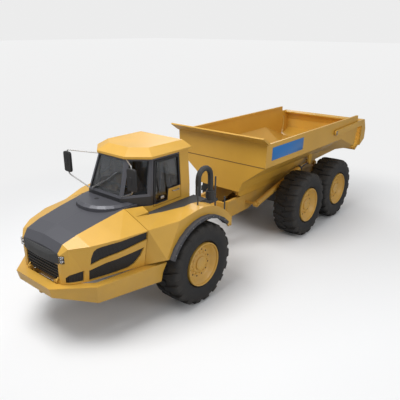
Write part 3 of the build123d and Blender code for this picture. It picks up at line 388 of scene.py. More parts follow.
# %% Glass and metal
def tinted_glass(name, tint, clear):
    finish = Finish(name, Roughness=0.04, Transmission_Weight=1.0, IOR=1.45)
    smear = finish.noise(2.2, 5.0)
    finish.feed(Base_Color=finish.mix(finish.ramp(smear, 0.3, 0.8), tint, shaded(tint, 0.85)),
                Alpha=finish.ramp(smear, 0.2, 0.9) * 0.05 + (1.0 - clear))
    return finish.material


def bright_metal(name, colour, rough):
    finish = Finish(name)
    rubbed = finish.noise(30.0, 6.0, 0.6, stretch=(1, 6, 6))
    finish.feed(Base_Color=finish.mix(finish.ramp(rubbed, 0.3, 0.8), colour, shaded(colour, 0.8)),
                Roughness=finish.ramp(rubbed, 0.2, 0.9) * 0.2 + rough,
                Metallic=finish.ramp(rubbed, -1.0, 0.0))
    return finish.bump(rubbed, 0.05, 0.001)


GLASS = tinted_glass("tinted_window", (0.07, 0.085, 0.10), clear=0.35)
LENS = tinted_glass("lamp_lens", (0.30, 0.31, 0.33), clear=0.6)
CHROME = bright_metal("rod_chrome", (0.78, 0.78, 0.80), 0.12)
STEEL = bright_metal("bare_steel", (0.42, 0.41, 0.40), 0.35)
print("glass and metal:", GLASS.name, LENS.name, CHROME.name, STEEL.name)

# %% [markdown]
# ## Seat cloth and grille mesh
#
# Both are woven. Two sets of waves that cross give the weave: multiplied they make the
# cloth's small squares, and the larger of the two makes the open wires of the grille.

# %% Cloth and mesh
def waves(finish, axis, scale, **settings):
    settings["bands_direction"] = axis
    return finish.node("TexWave", settings, {"Vector": finish.place, "Scale": scale})


def woven_cloth(name, colour):
    finish = Finish(name, Sheen_Weight=0.4, Roughness=0.85)
    weave = waves(finish, "X", 160.0) * waves(finish, "Y", 160.0)
    finish.feed(Base_Color=finish.mix(weave, shaded(colour, 0.7), colour))
    return finish.bump(weave, 0.35, 0.001)


def grille_mesh(name):
    finish = Finish(name)
    column, row = (finish.ramp(waves(finish, axis, 14.0, wave_profile="TRI"), 0.55, 0.85)
                   for axis in ("X", "Z"))
    wires = finish.larger(column, row)
    # Between the wires the near black is painted shade, for the dark seen through the open mesh.
    finish.feed(Base_Color=finish.mix(wires, (0.004, 0.004, 0.004), (0.028, 0.028, 0.03)),
                Roughness=0.75 - wires * 0.25)
    return finish.bump(wires, 0.6, 0.004)


SEAT_CLOTH = woven_cloth("seat_cloth", (0.05, 0.05, 0.06))
GRILLE = grille_mesh("grille_mesh")
print("woven finishes:", SEAT_CLOTH.name, GRILLE.name, "of", len(bpy.data.materials))

# %% [markdown]
# ## Floor and sky
#
# The floor is plain and pale, and keeps the truck's shadow near it. Further out it fades
# into the same even tone as the sky, so that no horizon line crosses the picture. Only
# the camera sees that tone: the truck is lit by the world's own soft light.

# %% Floor and world
BACKDROP = 0.84
FADE_START, FADE_END = 5.0, 9.5


def studio_floor():
    finish = Finish("studio_floor", Roughness=0.9, Emission_Strength=1.0)
    seen = finish.node("LightPath", out="Is Camera Ray")
    reach = finish.node("VectorMath", {"operation": "LENGTH"}, {0: finish.place}, out="Value")
    plain = finish.ramp(reach, FADE_START, FADE_END) * seen
    finish.feed(Base_Color=finish.mix(plain, finish.mix(seen, 0.50, 0.86), 0.0),
                Emission_Color=finish.mix(plain, 0.0, BACKDROP))
    bpy.ops.mesh.primitive_plane_add(size=400)
    floor = bpy.context.object
    floor.name = "studio_floor"
    floor.data.materials.append(finish.material)


def studio_world():
    world = bpy.data.worlds.new("studio_world")
    bpy.context.scene.world = world
    world.use_nodes = True
    sky, links = world.node_tree.nodes, world.node_tree.links
    glow = sky["Background"]
    glow.inputs["Color"].default_value = (0.95, 0.97, 1.0, 1)
    glow.inputs["Strength"].default_value = 0.50
    plain_sky = sky.new("ShaderNodeBackground")
    plain_sky.inputs["Color"].default_value = (BACKDROP, BACKDROP, BACKDROP, 1)
    choose, ray = sky.new("ShaderNodeMixShader"), sky.new("ShaderNodeLightPath")
    links.new(ray.outputs["Is Camera Ray"], choose.inputs[0])
    links.new(glow.outputs[0], choose.inputs[1])
    links.new(plain_sky.outputs[0], choose.inputs[2])
    links.new(choose.outputs[0], sky["World Output"].inputs["Surface"])


studio_floor()
studio_world()
print("floor and world set")

# %% [markdown]
# ## Finishes on the CAD solids
#
# A CAD solid whose shape is right stays, and gets its finish here. A folded or cast one
# also gets a narrow bevel, because a real edge is never sharp and catches a line of
# light. The hood panel, the cowl, the dark cab frame, the black trim and the bright rods
# wear materials of the frame's own: one even colour each, with no dust and no grain.

# %% Dress the CAD solids
DRESSED = [
    (BED_PAINT, ["bed"]),
    (YELLOW, ["bumper", "hood_shell", "fenders", "cab_roof", "tailgate"]),
    (CAB_PAINT, ["cab_tub", "cab_door"]),
    (YELLOW_FRAME, ["front_frame", "rear_frame", "steer_brackets", "hitch_yoke",
                    "steer_barrel_left", "steer_barrel_right",
                    "hoist_barrel_left", "hoist_barrel_right"]),
    (FRAME_GREY, ["front_axle", "mid_axle", "rear_axle", "front_suspension", "bogie_beams",
                  "propshafts", "engine_block"]),
    (RUBBER, ["flares"]),
    (GRILLE, ["hood_grilles"]),
    (GLASS, ["cab_glass", "door_glass"]),
    (LENS, ["headlamps"]),
    (PLAIN["charcoal_paint"], ["hood_panel", "cowl", "cab_frame"]),
    (PLAIN["black_plastic"], ["dashboard", "walkways", "hood_nose", "handrails", "intake_pipe"]),
    (PLAIN["rod_chrome"], ["steer_rod_left", "steer_rod_right", "hoist_rod_left", "hoist_rod_right"]),
]
FOLDED_OR_CAST = ("bed", "bumper", "fenders", "cab_tub", "cab_roof", "tailgate", "rear_frame",
                  "front_frame", "hitch_yoke", "cab_frame", "hood_shell", "dashboard", "bogie_beams")
EDGE_WIDTH = 0.006
EDGE_ANGLE = 0.5


def soften(piece):
    bevel = piece.modifiers.new("soft_edges", "BEVEL")
    bevel.width = EDGE_WIDTH
    bevel.segments = 2
    bevel.limit_method = "ANGLE"
    bevel.angle_limit = EDGE_ANGLE
    bevel.harden_normals = False
    bevel.use_clamp_overlap = True


for material, nodes in DRESSED:
    for node in nodes:
        NODES[node].data.materials.clear()
        NODES[node].data.materials.append(material)
for node in FOLDED_OR_CAST:
    soften(NODES[node])
print("dressed:", sum(len(nodes) for _, nodes in DRESSED))

# %% [markdown]
# ## Smooth sheet metal
#
# The hood, the cowl and the flares are pressed or moulded, and the rods and pipes are
# round, so light runs over them with no facets. Only a fold sharper than a set angle
# stays a hard line. No point or face of the CAD mesh moves.

# %% Smooth shading
SMOOTH_NODES = ("hood_panel", "hood_shell", "hood_nose", "cowl", "intake_pipe", "flares", "fenders",
                "handrails", "hitch_yoke", "steer_rod_left", "steer_rod_right", "hoist_rod_left",
                "hoist_rod_right", "hoist_barrel_left", "hoist_barrel_right", "steer_barrel_left",
                "steer_barrel_right")


def shade(piece, angle):
    chosen = {"object": piece, "active_object": piece,
              "selected_objects": [piece], "selected_editable_objects": [piece]}
    with bpy.context.temp_override(**chosen):
        bpy.ops.object.shade_smooth_by_angle(angle=math.radians(angle))


for node in SMOOTH_NODES:
    shade(NODES[node], 32)
print("smooth nodes:", len(SMOOTH_NODES))

# %% [markdown]
# ## Making pieces
#
# New pieces are plain meshes, made from rings of points that are joined by faces. A
# profile that is turned round an axis gives a tyre or a rim, and a short stack of rings
# gives a bolt. Each new piece gets its finish and rides on the body that carries it.

# %% Piece helpers
def circle(count, first=0.0):
    return [first + 2 * math.pi * i / count for i in range(count)]


def loft(rings, caps=True):
    """Points and faces that join closed rings of equal length."""
    count = len(rings[0])
    verts = [point for ring in rings for point in ring]
    faces = []
    for r in range(len(rings) - 1):
        low, high = r * count, (r + 1) * count
        for i in range(count):
            j = (i + 1) % count
            faces.append((low + i, low + j, high + j, high + i))
    if caps:
        faces.append(tuple(range(count))[::-1])
        faces.append(tuple((len(rings) - 1) * count + i for i in range(count)))
    return verts, faces


def join_parts(parts):
    verts, faces = [], []
    for part_verts, part_faces in parts:
        base = len(verts)
        verts += list(part_verts)
        faces += [tuple(i + base for i in face) for face in part_faces]
    return verts, faces


def turned_shape(profile, segments, axis="Y", centre=(0, 0, 0), caps=True):
    """Points and faces of (reach, along) pairs turned round an axis through centre."""
    rings = []
    for reach, along in profile:
        ring = []
        for a in circle(segments):
            u, v = reach * math.cos(a), reach * math.sin(a)
            point = {"X": (along, u, v), "Y": (u, along, v), "Z": (u, v, along)}[axis]
            ring.append(Vector(point) + Vector(centre))
        rings.append(ring)
    return loft(rings, caps)


def stud(centre, along, radius, height, sides=6):
    """A hexagon head or a round cap standing on a face."""
    along = Vector(along).normalized()
    right = along.orthogonal().normalized()
    up = along.cross(right)
    rings = []
    for lift, reach in ((0, radius), (height * 0.8, radius), (height, radius * 0.8)):
        rings.append([Vector(centre) + along * lift + (right * math.cos(a) + up * math.sin(a)) * reach
                      for a in circle(sides)])
    return loft(rings)


def mesh_piece(name, shape, smooth=None):
    verts, faces = shape
    mesh = bpy.data.meshes.new(name)
    mesh.from_pydata([tuple(v) for v in verts], [], faces)
    clean = bmesh.new()
    clean.from_mesh(mesh)
    bmesh.ops.remove_doubles(clean, verts=clean.verts, dist=0.00001)
    bmesh.ops.recalc_face_normals(clean, faces=clean.faces)
    clean.to_mesh(mesh)
    clean.free()
    piece = bpy.data.objects.new(name, mesh)
    bpy.context.scene.collection.objects.link(piece)
    if smooth:
        shade(piece, smooth)
    return piece


def add_piece(name, parts, material, body, replaces=(), angle=35):
    piece = mesh_piece(name, join_parts(parts), angle)
    piece.data.materials.append(material)
    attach(piece, body)
    if replaces:
        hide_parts(*replaces)
    return piece


print("piece helpers ready")

# %% [markdown]
# ## Setting a wheel piece six times
#
# The six wheels are alike, so each of their meshes is made once, round its own axle, and
# shared by six objects. A right wheel is a left one turned half round, so that its dish
# faces out and its lugs point the right way.

# %% Wheel copies
WHEELS = {"front": 0.0, "mid": -4.501, "rear": -6.321}  # each axle, from the front one
HALF_TRACK = 1.2575
TYRE_REACH = 0.875  # from the axle to the floor


def shared_mesh(name, parts, material, smooth=None):
    master = mesh_piece(name, join_parts(parts), smooth)
    mesh = master.data
    mesh.materials.append(material)
    bpy.data.objects.remove(master)
    return mesh


def wheel_copies(label, mesh, replaced=None, rolled=None):
    for axle, x in WHEELS.items():
        for side, side_name in SIDES:
            wheel = f"{axle}_{side_name}"
            piece = bpy.data.objects.new(f"{label}_{wheel}", mesh)
            bpy.context.scene.collection.objects.link(piece)
            piece.location = at(x, side * HALF_TRACK, TYRE_REACH)
            piece.rotation_euler = (0, rolled[axle] if rolled else 0, math.pi if side < 0 else 0)
            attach(piece, f"wheel_{wheel}")
            if replaced:
                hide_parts(f"{replaced}_{wheel}")


print("wheels:", len(WHEELS) * len(SIDES))

# %% [markdown]
# ## Tyres
#
# A hauler tyre is a fat carcass with thick bars that cross the tread from the middle to
# the shoulder, left and right in turn, and run on down the side wall. The carcass is one
# turned profile. Each bar is a short loft with stations from the middle to the shoulder.

# %% Tyres
TREAD_REACH = 0.830
BARS = 18
BAR_DEPTH = 0.055
BAR_STATIONS = [  # across the tread, half width, reach, lean in bar pitches
    (-0.030, 0.050, 0.874, 0.0), (0.090, 0.064, 0.8748, 0.06), (0.205, 0.078, 0.873, 0.16),
    (0.276, 0.084, 0.866, 0.22), (0.312, 0.080, 0.838, 0.25), (0.328, 0.070, 0.790, 0.27),
    (0.332, 0.060, 0.745, 0.28)]
HALF_CARCASS = [  # reach, across
    (0.452, -0.235), (0.470, -0.262), (0.500, -0.290), (0.505, -0.300), (0.515, -0.303),
    (0.560, -0.322), (0.640, -0.335), (0.705, -0.334), (0.765, -0.322), (0.800, -0.302),
    (0.822, -0.268), (TREAD_REACH, -0.20)]
CROWN = (TREAD_REACH + 0.003, 0.0)
TYRE_ROLL = {"front": 0.03, "mid": 0.11, "rear": -0.05}


def tyre_bar(number, side):
    pitch = 2 * math.pi / BARS
    start = pitch * (number + (0.5 if side < 0 else 0.0))
    rings = []
    for y, half, top, lean in BAR_STATIONS:
        base = top - BAR_DEPTH
        middle = start + lean * pitch
        flank = [(base, half * 1.12), (top - 0.006, half), (top, half * 0.92)]
        corners = [(reach, middle + width / TYRE_REACH) for reach, width in flank]
        corners += [(reach, middle - width / TYRE_REACH) for reach, width in reversed(flank)]
        rings.append([Vector((reach * math.cos(a), side * y, reach * math.sin(a))) for reach, a in corners])
    return loft(rings)


profile = HALF_CARCASS + [CROWN] + [(reach, -y) for reach, y in reversed(HALF_CARCASS)]
tyre_parts = [turned_shape(profile, 96, caps=False)]
tyre_parts += [tyre_bar(number, side) for number in range(BARS) for side, _ in SIDES]
tyre_data = shared_mesh("tyre_master", tyre_parts, TYRE, 32)
wheel_copies("lugged_tyre", tyre_data, "tyre", TYRE_ROLL)
print("tyre faces:", len(tyre_data.polygons))

# %% [markdown]
# ## Rims
#
# The rim is a turned dish: a wide outer flange, a cone that falls back to the disc, and a
# hub that stands out of it. A ring of studs holds the disc, and small ports sit between
# them. Each port is painted shade: a low dark cap stands for the dark seen through a hole,
# which costs less than a hole and reads the same.

# %% Rims
RIM_PROFILE = [  # reach, outward
    (0.440, -0.235), (0.440, 0.225), (0.455, 0.240), (0.466, 0.262), (0.467, 0.300), (0.462, 0.318),
    (0.452, 0.325), (0.438, 0.321), (0.430, 0.306), (0.428, 0.285), (0.412, 0.270), (0.398, 0.262),
    (0.366, 0.214), (0.338, 0.190), (0.320, 0.178), (0.300, 0.175), (0.268, 0.176), (0.262, 0.184),
    (0.250, 0.186), (0.214, 0.187), (0.204, 0.198), (0.170, 0.205), (0.152, 0.212), (0.146, 0.236),
    (0.138, 0.243), (0.080, 0.245), (0.074, 0.240), (0.0, 0.240)]
DISC_STUDS = 12
HUB_STUDS = 10


def stud_ring(count, half_step, reach, outward, radius, height, sides=6):
    step = math.pi / count if half_step else 0.0
    return [stud((reach * math.cos(a), outward, reach * math.sin(a)), (0, 1, 0), radius, height, sides)
            for a in circle(count, step)]


rim_parts = [turned_shape(RIM_PROFILE, 72, caps=False)]
rim_parts += stud_ring(DISC_STUDS, False, 0.232, 0.186, 0.014, 0.020)
rim_parts += stud_ring(HUB_STUDS, True, 0.110, 0.243, 0.010, 0.002)
# The port caps are dark plastic: painted shade for the dark seen through the rim's holes.
port_shade_caps = stud_ring(DISC_STUDS, True, 0.287, 0.1720, 0.018, 0.0070, 16)
rim_data = shared_mesh("rim_master", rim_parts, YELLOW, 30)
port_shade_data = shared_mesh("port_shade_master", port_shade_caps, PLASTIC)
wheel_copies("dished_rim", rim_data, "rim")
wheel_copies("rim_port_shade", port_shade_data)
print("rim faces:", len(rim_data.polygons))

# %% [markdown]
# ## Tubes and slabs
#
# Mirror arms, handles and wiper arms are thin bent tubes. The path is a short list of
# points, a ring is set at each one, and a bend swaps a sharp corner for a few points on
# a curve. A mirror case or a latch is a slab with round corners and a soft edge.

# %% Tubes and slabs
def tube(points, radius, segments=10):
    points = [Vector(point) for point in points]
    rings = []
    up = Vector((0.21, 0.17, 0.96)).normalized()
    for i, point in enumerate(points):
        before = points[max(i - 1, 0)]
        after = points[min(i + 1, len(points) - 1)]
        along = (after - before).normalized()
        right = along.cross(up).normalized()
        top = right.cross(along)
        rings.append([point + (right * math.cos(a) + top * math.sin(a)) * radius for a in circle(segments)])
    return loft(rings)


def bend(corner, before, after, radius, count=5):
    """Points of a round bend that cuts the corner between two runs of tube."""
    corner, before, after = Vector(corner), Vector(before), Vector(after)
    start = corner + (before - corner).normalized() * radius
    end = corner + (after - corner).normalized() * radius
    steps = [i / count for i in range(count + 1)]
    return [start.lerp(corner, t).lerp(corner.lerp(end, t), t) for t in steps]


def rounded_slab(centre, normal, width, height, thick, corner, count=5):
    """A plate with round corners and a soft edge; width lies level, height is up."""
    normal = Vector(normal).normalized()
    across = Vector((0, 0, 1)).cross(normal).normalized()
    up = normal.cross(across)
    soft = min(0.35 * thick, 0.006)
    half = thick / 2
    rings = []
    for depth, inset in ((-half, soft), (soft - half, 0), (half - soft, 0), (half, soft)):
        ring = []
        for sx, sz, first in ((1, 1, 0), (-1, 1, 90), (-1, -1, 180), (1, -1, 270)):
            for i in range(count + 1):
                a = math.radians(first + 90 * i / count)
                u = sx * (width / 2 - corner) + (corner - inset) * math.cos(a)
                v = sz * (height / 2 - corner) + (corner - inset) * math.sin(a)
                ring.append(Vector(centre) + across * u + up * v + normal * depth)
        rings.append(ring)
    return loft(rings)


print("tube and slab helpers ready")

# %% [markdown]
# ## Mirrors
#
# Two thin arms leave each front corner of the cab, one at the roof and one at the foot of
# the pillar. They hold an upright pole, which carries a tall mirror in a rounded case. A
# box for the case would look like a toy's, so the case and the glass are slabs with
# round corners, and each arm is one tube that bends into the pole.

# %% Mirrors
MIRROR_X, MIRROR_Y, MIRROR_Z = 1.290, 0.950, 2.860
ARM_RADIUS = 0.0125
ARM_BEND = 0.05
POLE_END_Z = 2.85
ARMS = [  # foot on the cab, height where the arm meets the pole
    ((0.915, 0.392, 3.058), 3.108), ((1.163, 0.462, 2.382), 2.610)]
arms, heads, mirror_faces = [], [], []
for side, _ in SIDES:
    y = side * MIRROR_Y
    pole_end = (MIRROR_X, y, POLE_END_Z)
    for (foot_x, foot_y, foot_z), height in ARMS:
        foot = (foot_x, side * foot_y, foot_z)
        elbow = bend((MIRROR_X, y, height), foot, pole_end, ARM_BEND)
        arms.append(tube([at(*point) for point in [foot, *elbow, pole_end]], ARM_RADIUS))
    heads.append(rounded_slab(at(MIRROR_X, y, MIRROR_Z), (-1, 0, 0), 0.216, 0.416, 0.052, 0.045))
    heads.append(rounded_slab(at(MIRROR_X + 0.004, y, MIRROR_Z), (-1, 0, 0), 0.060, 0.120, 0.060, 0.012))
    glass_at = at(MIRROR_X - 0.0265, y, MIRROR_Z)
    mirror_faces.append(rounded_slab(glass_at, (-1, 0, 0), 0.186, 0.384, 0.003, 0.036))
add_piece("mirror_arms", arms, STEEL, "front_unit")
add_piece("mirror_heads", heads, PLASTIC, "front_unit", ["mirrors"])
add_piece("mirror_faces", mirror_faces, CHROME, "front_unit")
print("mirrors made")

# %% [markdown]
# ## Windscreen wiper
#
# A long wiper lies across the windscreen, from the far bottom corner towards the near top
# one. The glass leans back, so a small helper finds the point at any height on the glass,
# a little way outside it, and the whole wiper is set out with that.

# %% Wiper
SCREEN_FOOT = (1.180, 2.360)
SCREEN_TOP = (0.930, 3.080)
PIVOT_Y, PIVOT_Z = -0.33, 2.415


def on_screen(y, z, off=0.0):
    slope = (SCREEN_TOP[0] - SCREEN_FOOT[0]) / (SCREEN_TOP[1] - SCREEN_FOOT[1])
    out = Vector((1.0, 0.0, -slope)).normalized() * off
    return at(SCREEN_FOOT[0] + slope * (z - SCREEN_FOOT[1]), y, z) + out


outward = on_screen(0, SCREEN_FOOT[1], 1.0) - on_screen(0, SCREEN_FOOT[1])
wiper_arm = [on_screen(PIVOT_Y, PIVOT_Z, -0.01), on_screen(PIVOT_Y, PIVOT_Z, 0.03),
             on_screen(-0.30, 2.435, 0.036), on_screen(-0.03, 2.600, 0.040)]
wiper_blade = [on_screen(-0.22, 2.470, 0.022), on_screen(0.05, 2.650, 0.026), on_screen(0.24, 2.800, 0.022)]
wiper = [tube(wiper_arm, 0.008), tube(wiper_blade, 0.006),
         stud(on_screen(PIVOT_Y, PIVOT_Z, 0.012), outward, 0.022, 0.026, 16)]
add_piece("screen_wiper", wiper, STEEL, "front_unit")
print("wiper made")

# %% [markdown]
# ## The dark hole in the cowl
#
# A small dark hole sits in the top of the cowl, just past its middle. A dark plastic cap
# stands on the cowl in its place, and its dark is painted shade for the hole. A flat disc
# would vanish at this size, so it is a profile turned round an upright axis, with a soft rim
# that catches the light.

# %% Cowl hole shade
HOLE_SHADE_PROFILE = [  # reach, height
    (0.0, 2.2855), (0.018, 2.2865), (0.040, 2.2885), (0.046, 2.2870), (0.048, 2.2840), (0.0, 2.2838)]
HOLE_SHADE_PLACE = at(1.320, -0.066, 0)
cap = turned_shape(HOLE_SHADE_PROFILE, 28, "Z", HOLE_SHADE_PLACE, caps=False)
# Painted shade: the dark plastic stands for the shade inside a small hole in the cowl.
add_piece("cowl_hole_shade", [cap], PLASTIC, "front_unit")
print("cowl cap made")

# %% [markdown]
# ## Door seal, handle and catch
#
# The door is a panel with a rubber seal round its whole outline, which turns a corner
# behind the wheel arch. Above the sill the panel leans in with the cab, and the seal
# follows it. The handle is a bent bar, and the catch is a bright plate with two buttons.

# %% Door fittings
DOOR_Y = 0.800
DOOR_LEAN_Z = 2.36
DOOR_LEAN = 0.0556
DOOR_OUTLINE = [(0.585, 2.172), (0.255, 2.172), (0.218, 2.398), (-0.115, 2.398), (-0.115, 2.985),
                (0.482, 2.985), (0.585, 2.392)]
GRIP_X, GRIP_Y, GRIP_Z = (-0.075, 0.100), 0.850, 2.330
CATCH_Z = 2.262


def on_door(x, z, off):
    return at(x, DOOR_Y - max(0, z - DOOR_LEAN_Z) * DOOR_LEAN + off, z)


corners = [on_door(x, z, 0.004) for x, z in DOOR_OUTLINE]
seal = [tube(pair, 0.009, 8) for pair in zip(corners, corners[1:] + corners[:1])]
add_piece("door_seal", seal, PLASTIC, "door")
rear, fore = ((x, GRIP_Y, GRIP_Z) for x in GRIP_X)
grip = [(GRIP_X[0], DOOR_Y, GRIP_Z)]
grip += bend(rear, (GRIP_X[0], DOOR_Y + 0.002, GRIP_Z), fore, 0.03)
grip += bend(fore, rear, (GRIP_X[1], DOOR_Y + 0.002, GRIP_Z), 0.03)
grip += [(GRIP_X[1], DOOR_Y, GRIP_Z)]
add_piece("door_handle", [tube([at(*point) for point in grip], 0.010)], STEEL, "door")
catch = [rounded_slab(at(0.393, 0.808, CATCH_Z), (0, 1, 0), 0.090, 0.060, 0.020, 0.012),
         stud(at(0.375, 0.818, CATCH_Z), (0, 1, 0), 0.014, 0.016, 12),
         stud(at(0.412, 0.818, CATCH_Z), (0, 1, 0), 0.010, 0.012, 12)]
add_piece("door_catch", catch, CHROME, "door")
print("door fittings made")

# %% [markdown]
# ## The plain plate on the bed
#
# A blue plate stands on the near side of the bed. It is left blank. It lies on the sheet,
# which leans out a little towards the top, so each corner is set out from the sheet and
# not from the air. A rivet holds each corner, and one more the middle of each long edge.

# %% Bed plate
PLATE_X = (-4.270, -2.755)
PLATE_Z = (2.445, 2.766)
BED_CREASE_Y, BED_CREASE_Z = 1.350, 2.300
BED_LEAN = 0.023 / 0.572
RIVET_INSET_X, RIVET_INSET_Z = 0.04, 0.03


def on_bed_side(x, z, off):
    return at(x, BED_CREASE_Y + BED_LEAN * (z - BED_CREASE_Z) + off, z)


plate_rings = []
for lift, inset in ((0.0, 0.0), (0.004, 0.0), (0.006, 0.003)):
    rear, fore = PLATE_X[0] + inset, PLATE_X[1] - inset
    low, high = PLATE_Z[0] + inset, PLATE_Z[1] - inset
    outline = ((rear, low), (fore, low), (fore, high), (rear, high))
    plate_rings.append([on_bed_side(x, z, lift) for x, z in outline])
add_piece("bed_plate", [loft(plate_rings)], BLUE_PLATE, "bed")
rivet_x = (PLATE_X[0] + RIVET_INSET_X, sum(PLATE_X) / 2, PLATE_X[1] - RIVET_INSET_X)
rivet_z = (PLATE_Z[0] + RIVET_INSET_Z, PLATE_Z[1] - RIVET_INSET_Z)
rivets = [stud(on_bed_side(x, z, 0.005), (0, 1, 0), 0.009, 0.004, 12) for x in rivet_x for z in rivet_z]
add_piece("plate_rivets", rivets, STEEL, "bed")
print("bed plate made")

# %% [markdown]
# ## The seam across the bed's front wall
#
# The front wall is two sheets, welded where the side walls fold. The bead is a thin tube
# half sunk in the sheet, and its dark brown colour is painted shade: the shade in the fold.

# %% Front seam
SEAM_X, SEAM_HALF = -2.500, 1.335
# Painted shade: the dark brown stands for the shade in the fold of the front wall.
seam_paint = painted("seam_paint", (0.16, 0.085, 0.014), gloss=0.6, dust=0.3)
seam_line = [at(SEAM_X, y, BED_CREASE_Z) for y in (-SEAM_HALF, 0, SEAM_HALF)]
add_piece("front_seam", [tube(seam_line, 0.010, 8)], seam_paint, "bed")
print("front seam made")

# %% [markdown]
# ## Seat
#
# The driver's seat shows through the side window. A box would look hard, so the cushion
# and the back are lofts of fat rounded sections that draw in at both ends, smoothed by a
# subdivision. A plastic foot carries them on the floor.

# %% Seat
CUSHION = [  # lower x and z, upper x and z, share of the full width
    ((-0.10, 2.035), (-0.10, 2.075), 0.80), ((-0.08, 2.000), (-0.08, 2.108), 0.95),
    ((0.06, 1.992), (0.06, 2.112), 1.0), ((0.22, 1.992), (0.22, 2.104), 1.0),
    ((0.34, 1.995), (0.345, 2.106), 0.97), ((0.385, 2.015), (0.390, 2.085), 0.90),
    ((0.394, 2.035), (0.396, 2.065), 0.78)]
BACKREST = [
    ((-0.190, 2.075), (-0.060, 2.090), 0.80), ((-0.205, 2.130), (-0.030, 2.130), 0.96),
    ((-0.212, 2.300), (-0.058, 2.300), 1.0), ((-0.215, 2.450), (-0.078, 2.450), 0.96),
    ((-0.216, 2.580), (-0.086, 2.580), 0.88), ((-0.214, 2.640), (-0.094, 2.640), 0.62),
    ((-0.212, 2.665), (-0.100, 2.665), 0.52), ((-0.212, 2.760), (-0.104, 2.755), 0.50),
    ((-0.190, 2.776), (-0.122, 2.774), 0.40)]
SEAT_FOOT = [  # height, half length, half width
    (1.642, 0.165, 0.165), (1.700, 0.160, 0.160), (1.720, 0.120, 0.125), (1.930, 0.120, 0.125),
    (1.950, 0.155, 0.160), (1.988, 0.158, 0.160)]
OCTAGON = ((1, 0.8), (0.8, 1), (-0.8, 1), (-1, 0.8), (-1, -0.8), (-0.8, -1), (0.8, -1), (1, -0.8))


def swollen(stations, half):
    """Fat rounded sections along a seat, between a lower and an upper edge."""
    rings = []
    for (low_x, low_z), (high_x, high_z), pinch in stations:
        ring = []
        for a in circle(16):
            u = math.copysign(abs(math.cos(a)) ** 0.55, math.cos(a))
            v = (math.copysign(abs(math.sin(a)) ** 0.75, math.sin(a)) + 1) / 2
            ring.append(at(low_x + (high_x - low_x) * v, half * pinch * u, low_z + (high_z - low_z) * v))
        rings.append(ring)
    return loft(rings)


def padded_piece(name, shape, replaces=()):
    piece = add_piece(name, [shape], SEAT_CLOTH, "front_unit", replaces, angle=60)
    rounder = piece.modifiers.new("padding", "SUBSURF")
    rounder.levels = rounder.render_levels = 2


padded_piece("seat_cushion", swollen(CUSHION, 0.245), ["seat"])
padded_piece("seat_back", swollen(BACKREST, 0.235))
foot_rings = [[at(0.14 + half_x * u, half_y * v, z) for u, v in OCTAGON] for z, half_x, half_y in SEAT_FOOT]
add_piece("seat_base", [loft(foot_rings)], PLASTIC, "front_unit")
print("seat made")

# %% [markdown]
# ## Steering wheel
#
# A thin round rim on three spokes, tilted with the column. Two steps across it and one
# along the column give the directions, and every point is set out from its middle.

# %% Steering wheel
COLUMN_FOOT = at(1.010, 0, 1.980)
COLUMN_HEAD = at(0.760, 0, 2.420)
GRIP_REACH, GRIP_RADIUS = 0.190, 0.0155
SPOKE_ANGLES = (90, 205, 335)
wheel_way = (COLUMN_HEAD - COLUMN_FOOT).normalized()
wheel_side = Vector((0, 1, 0))
wheel_up = wheel_way.cross(wheel_side)
wheel_mid = COLUMN_HEAD + wheel_way * GRIP_RADIUS


def spoke_way(a):
    return wheel_side * math.cos(a) + wheel_up * math.sin(a)


rim_rings = []
for out in map(spoke_way, circle(40)):
    rim_rings.append([wheel_mid + out * (GRIP_REACH + GRIP_RADIUS * math.cos(b))
                      + wheel_way * GRIP_RADIUS * math.sin(b) for b in circle(10)])
wheel_parts = [loft(rim_rings + [rim_rings[0]], caps=False)]
for out in (spoke_way(math.radians(angle)) for angle in SPOKE_ANGLES):
    spoke = [wheel_mid + out * 0.02, wheel_mid + out * 0.10 - wheel_way * 0.006, wheel_mid + out * 0.182]
    wheel_parts.append(tube(spoke, 0.009, 8))
wheel_parts.append(stud(wheel_mid - wheel_way * 0.012, wheel_way, 0.045, 0.028, 20))
add_piece("steering_wheel_rim", wheel_parts, PLASTIC, "front_unit", ["steering_wheel"])
print("steering wheel made")

# %% [markdown]
# ## Headlamps
#
# Each lamp is a dark box in the hood's front corner. Two round reflectors sit one above
# the other behind the clear cover. A reflector is a small turned bowl of bright metal.

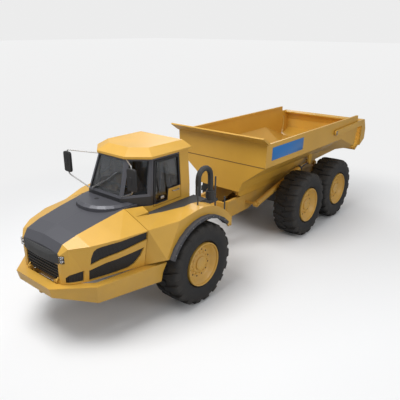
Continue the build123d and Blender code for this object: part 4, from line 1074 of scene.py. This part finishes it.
# %% Headlamps
LAMP_Y = 0.595
LAMP_HEIGHTS = (1.662, 1.730)
BOWL_PROFILE = [(0.002, 2.616), (0.016, 2.622), (0.026, 2.636), (0.031, 2.655), (0.033, 2.655),
                (0.033, 2.612), (0.002, 2.610)]
bowls, lamp_backs = [], []
for side, _ in SIDES:
    for z in LAMP_HEIGHTS:
        bowls.append(turned_shape(BOWL_PROFILE, 24, "X", at(0, side * LAMP_Y, z)))
    back_at = at(2.607, side * LAMP_Y, 1.695)
    lamp_backs.append(rounded_slab(back_at, (1, 0, 0), 0.084, 0.132, 0.008, 0.008))
add_piece("lamp_bowls", bowls, CHROME, "hood")
add_piece("lamp_backs", lamp_backs, PLASTIC, "hood")
print("headlamps made")

# %% [markdown]
# ## Bolts, collars and caps
#
# Heavy panels are held by bolts in plain sight. A row of them goes along each flare, each
# hoist cylinder gets the nut at its open end and a band further down, and a cap with a
# hexagon on it closes the pin that the tailgate hangs on. All are the same short loft,
# with more sides where it has to look round.

# %% Bolts, collars and caps
FLARE_BOLT_REACH, FLARE_BOLT_Y = 1.018, 1.6002
FLARE_BOLT_ANGLES = [32 + 12 * i for i in range(9)]
HOIST_Y = 0.785
HOIST_LOW, HOIST_HIGH = (-3.050, 1.120), (-5.750, 1.700)
BARREL_SHARE = 0.84  # how far the barrel reaches from its own pin towards the rod's
GATE_PIN_X, GATE_PIN_Z = -6.170, 2.575
flare_bolts, gate_caps = [], []
for side, side_name in SIDES:
    outward = (0, side, 0)
    for a in map(math.radians, FLARE_BOLT_ANGLES):
        x, z = FLARE_BOLT_REACH * math.cos(a), TYRE_REACH + FLARE_BOLT_REACH * math.sin(a)
        flare_bolts.append(stud(at(x, side * FLARE_BOLT_Y, z), outward, 0.011, 0.005))
    low, high = (at(x, side * HOIST_Y, z) for x, z in (HOIST_LOW, HOIST_HIGH))
    way = (high - low).normalized()
    mouth = low + way * ((high - low).length * BARREL_SHARE)
    collars = [stud(mouth - way * 0.085, way, 0.088, 0.080, 24),
               stud(mouth - way * 0.62, way, 0.081, 0.050, 24)]
    add_piece(f"hoist_collar_{side_name}", collars, FRAME_GREY, f"hoist_barrel_{side_name}")
    gate_caps.append(stud(at(GATE_PIN_X, side * 1.4302, GATE_PIN_Z), outward, 0.058, 0.012, 20))
    gate_caps.append(stud(at(GATE_PIN_X, side * 1.4420, GATE_PIN_Z), outward, 0.026, 0.004, 6))
add_piece("flare_bolts", flare_bolts, STEEL, "front_unit")
add_piece("gate_pin_caps", gate_caps, STEEL, "bed")
print("bolts and collars made")
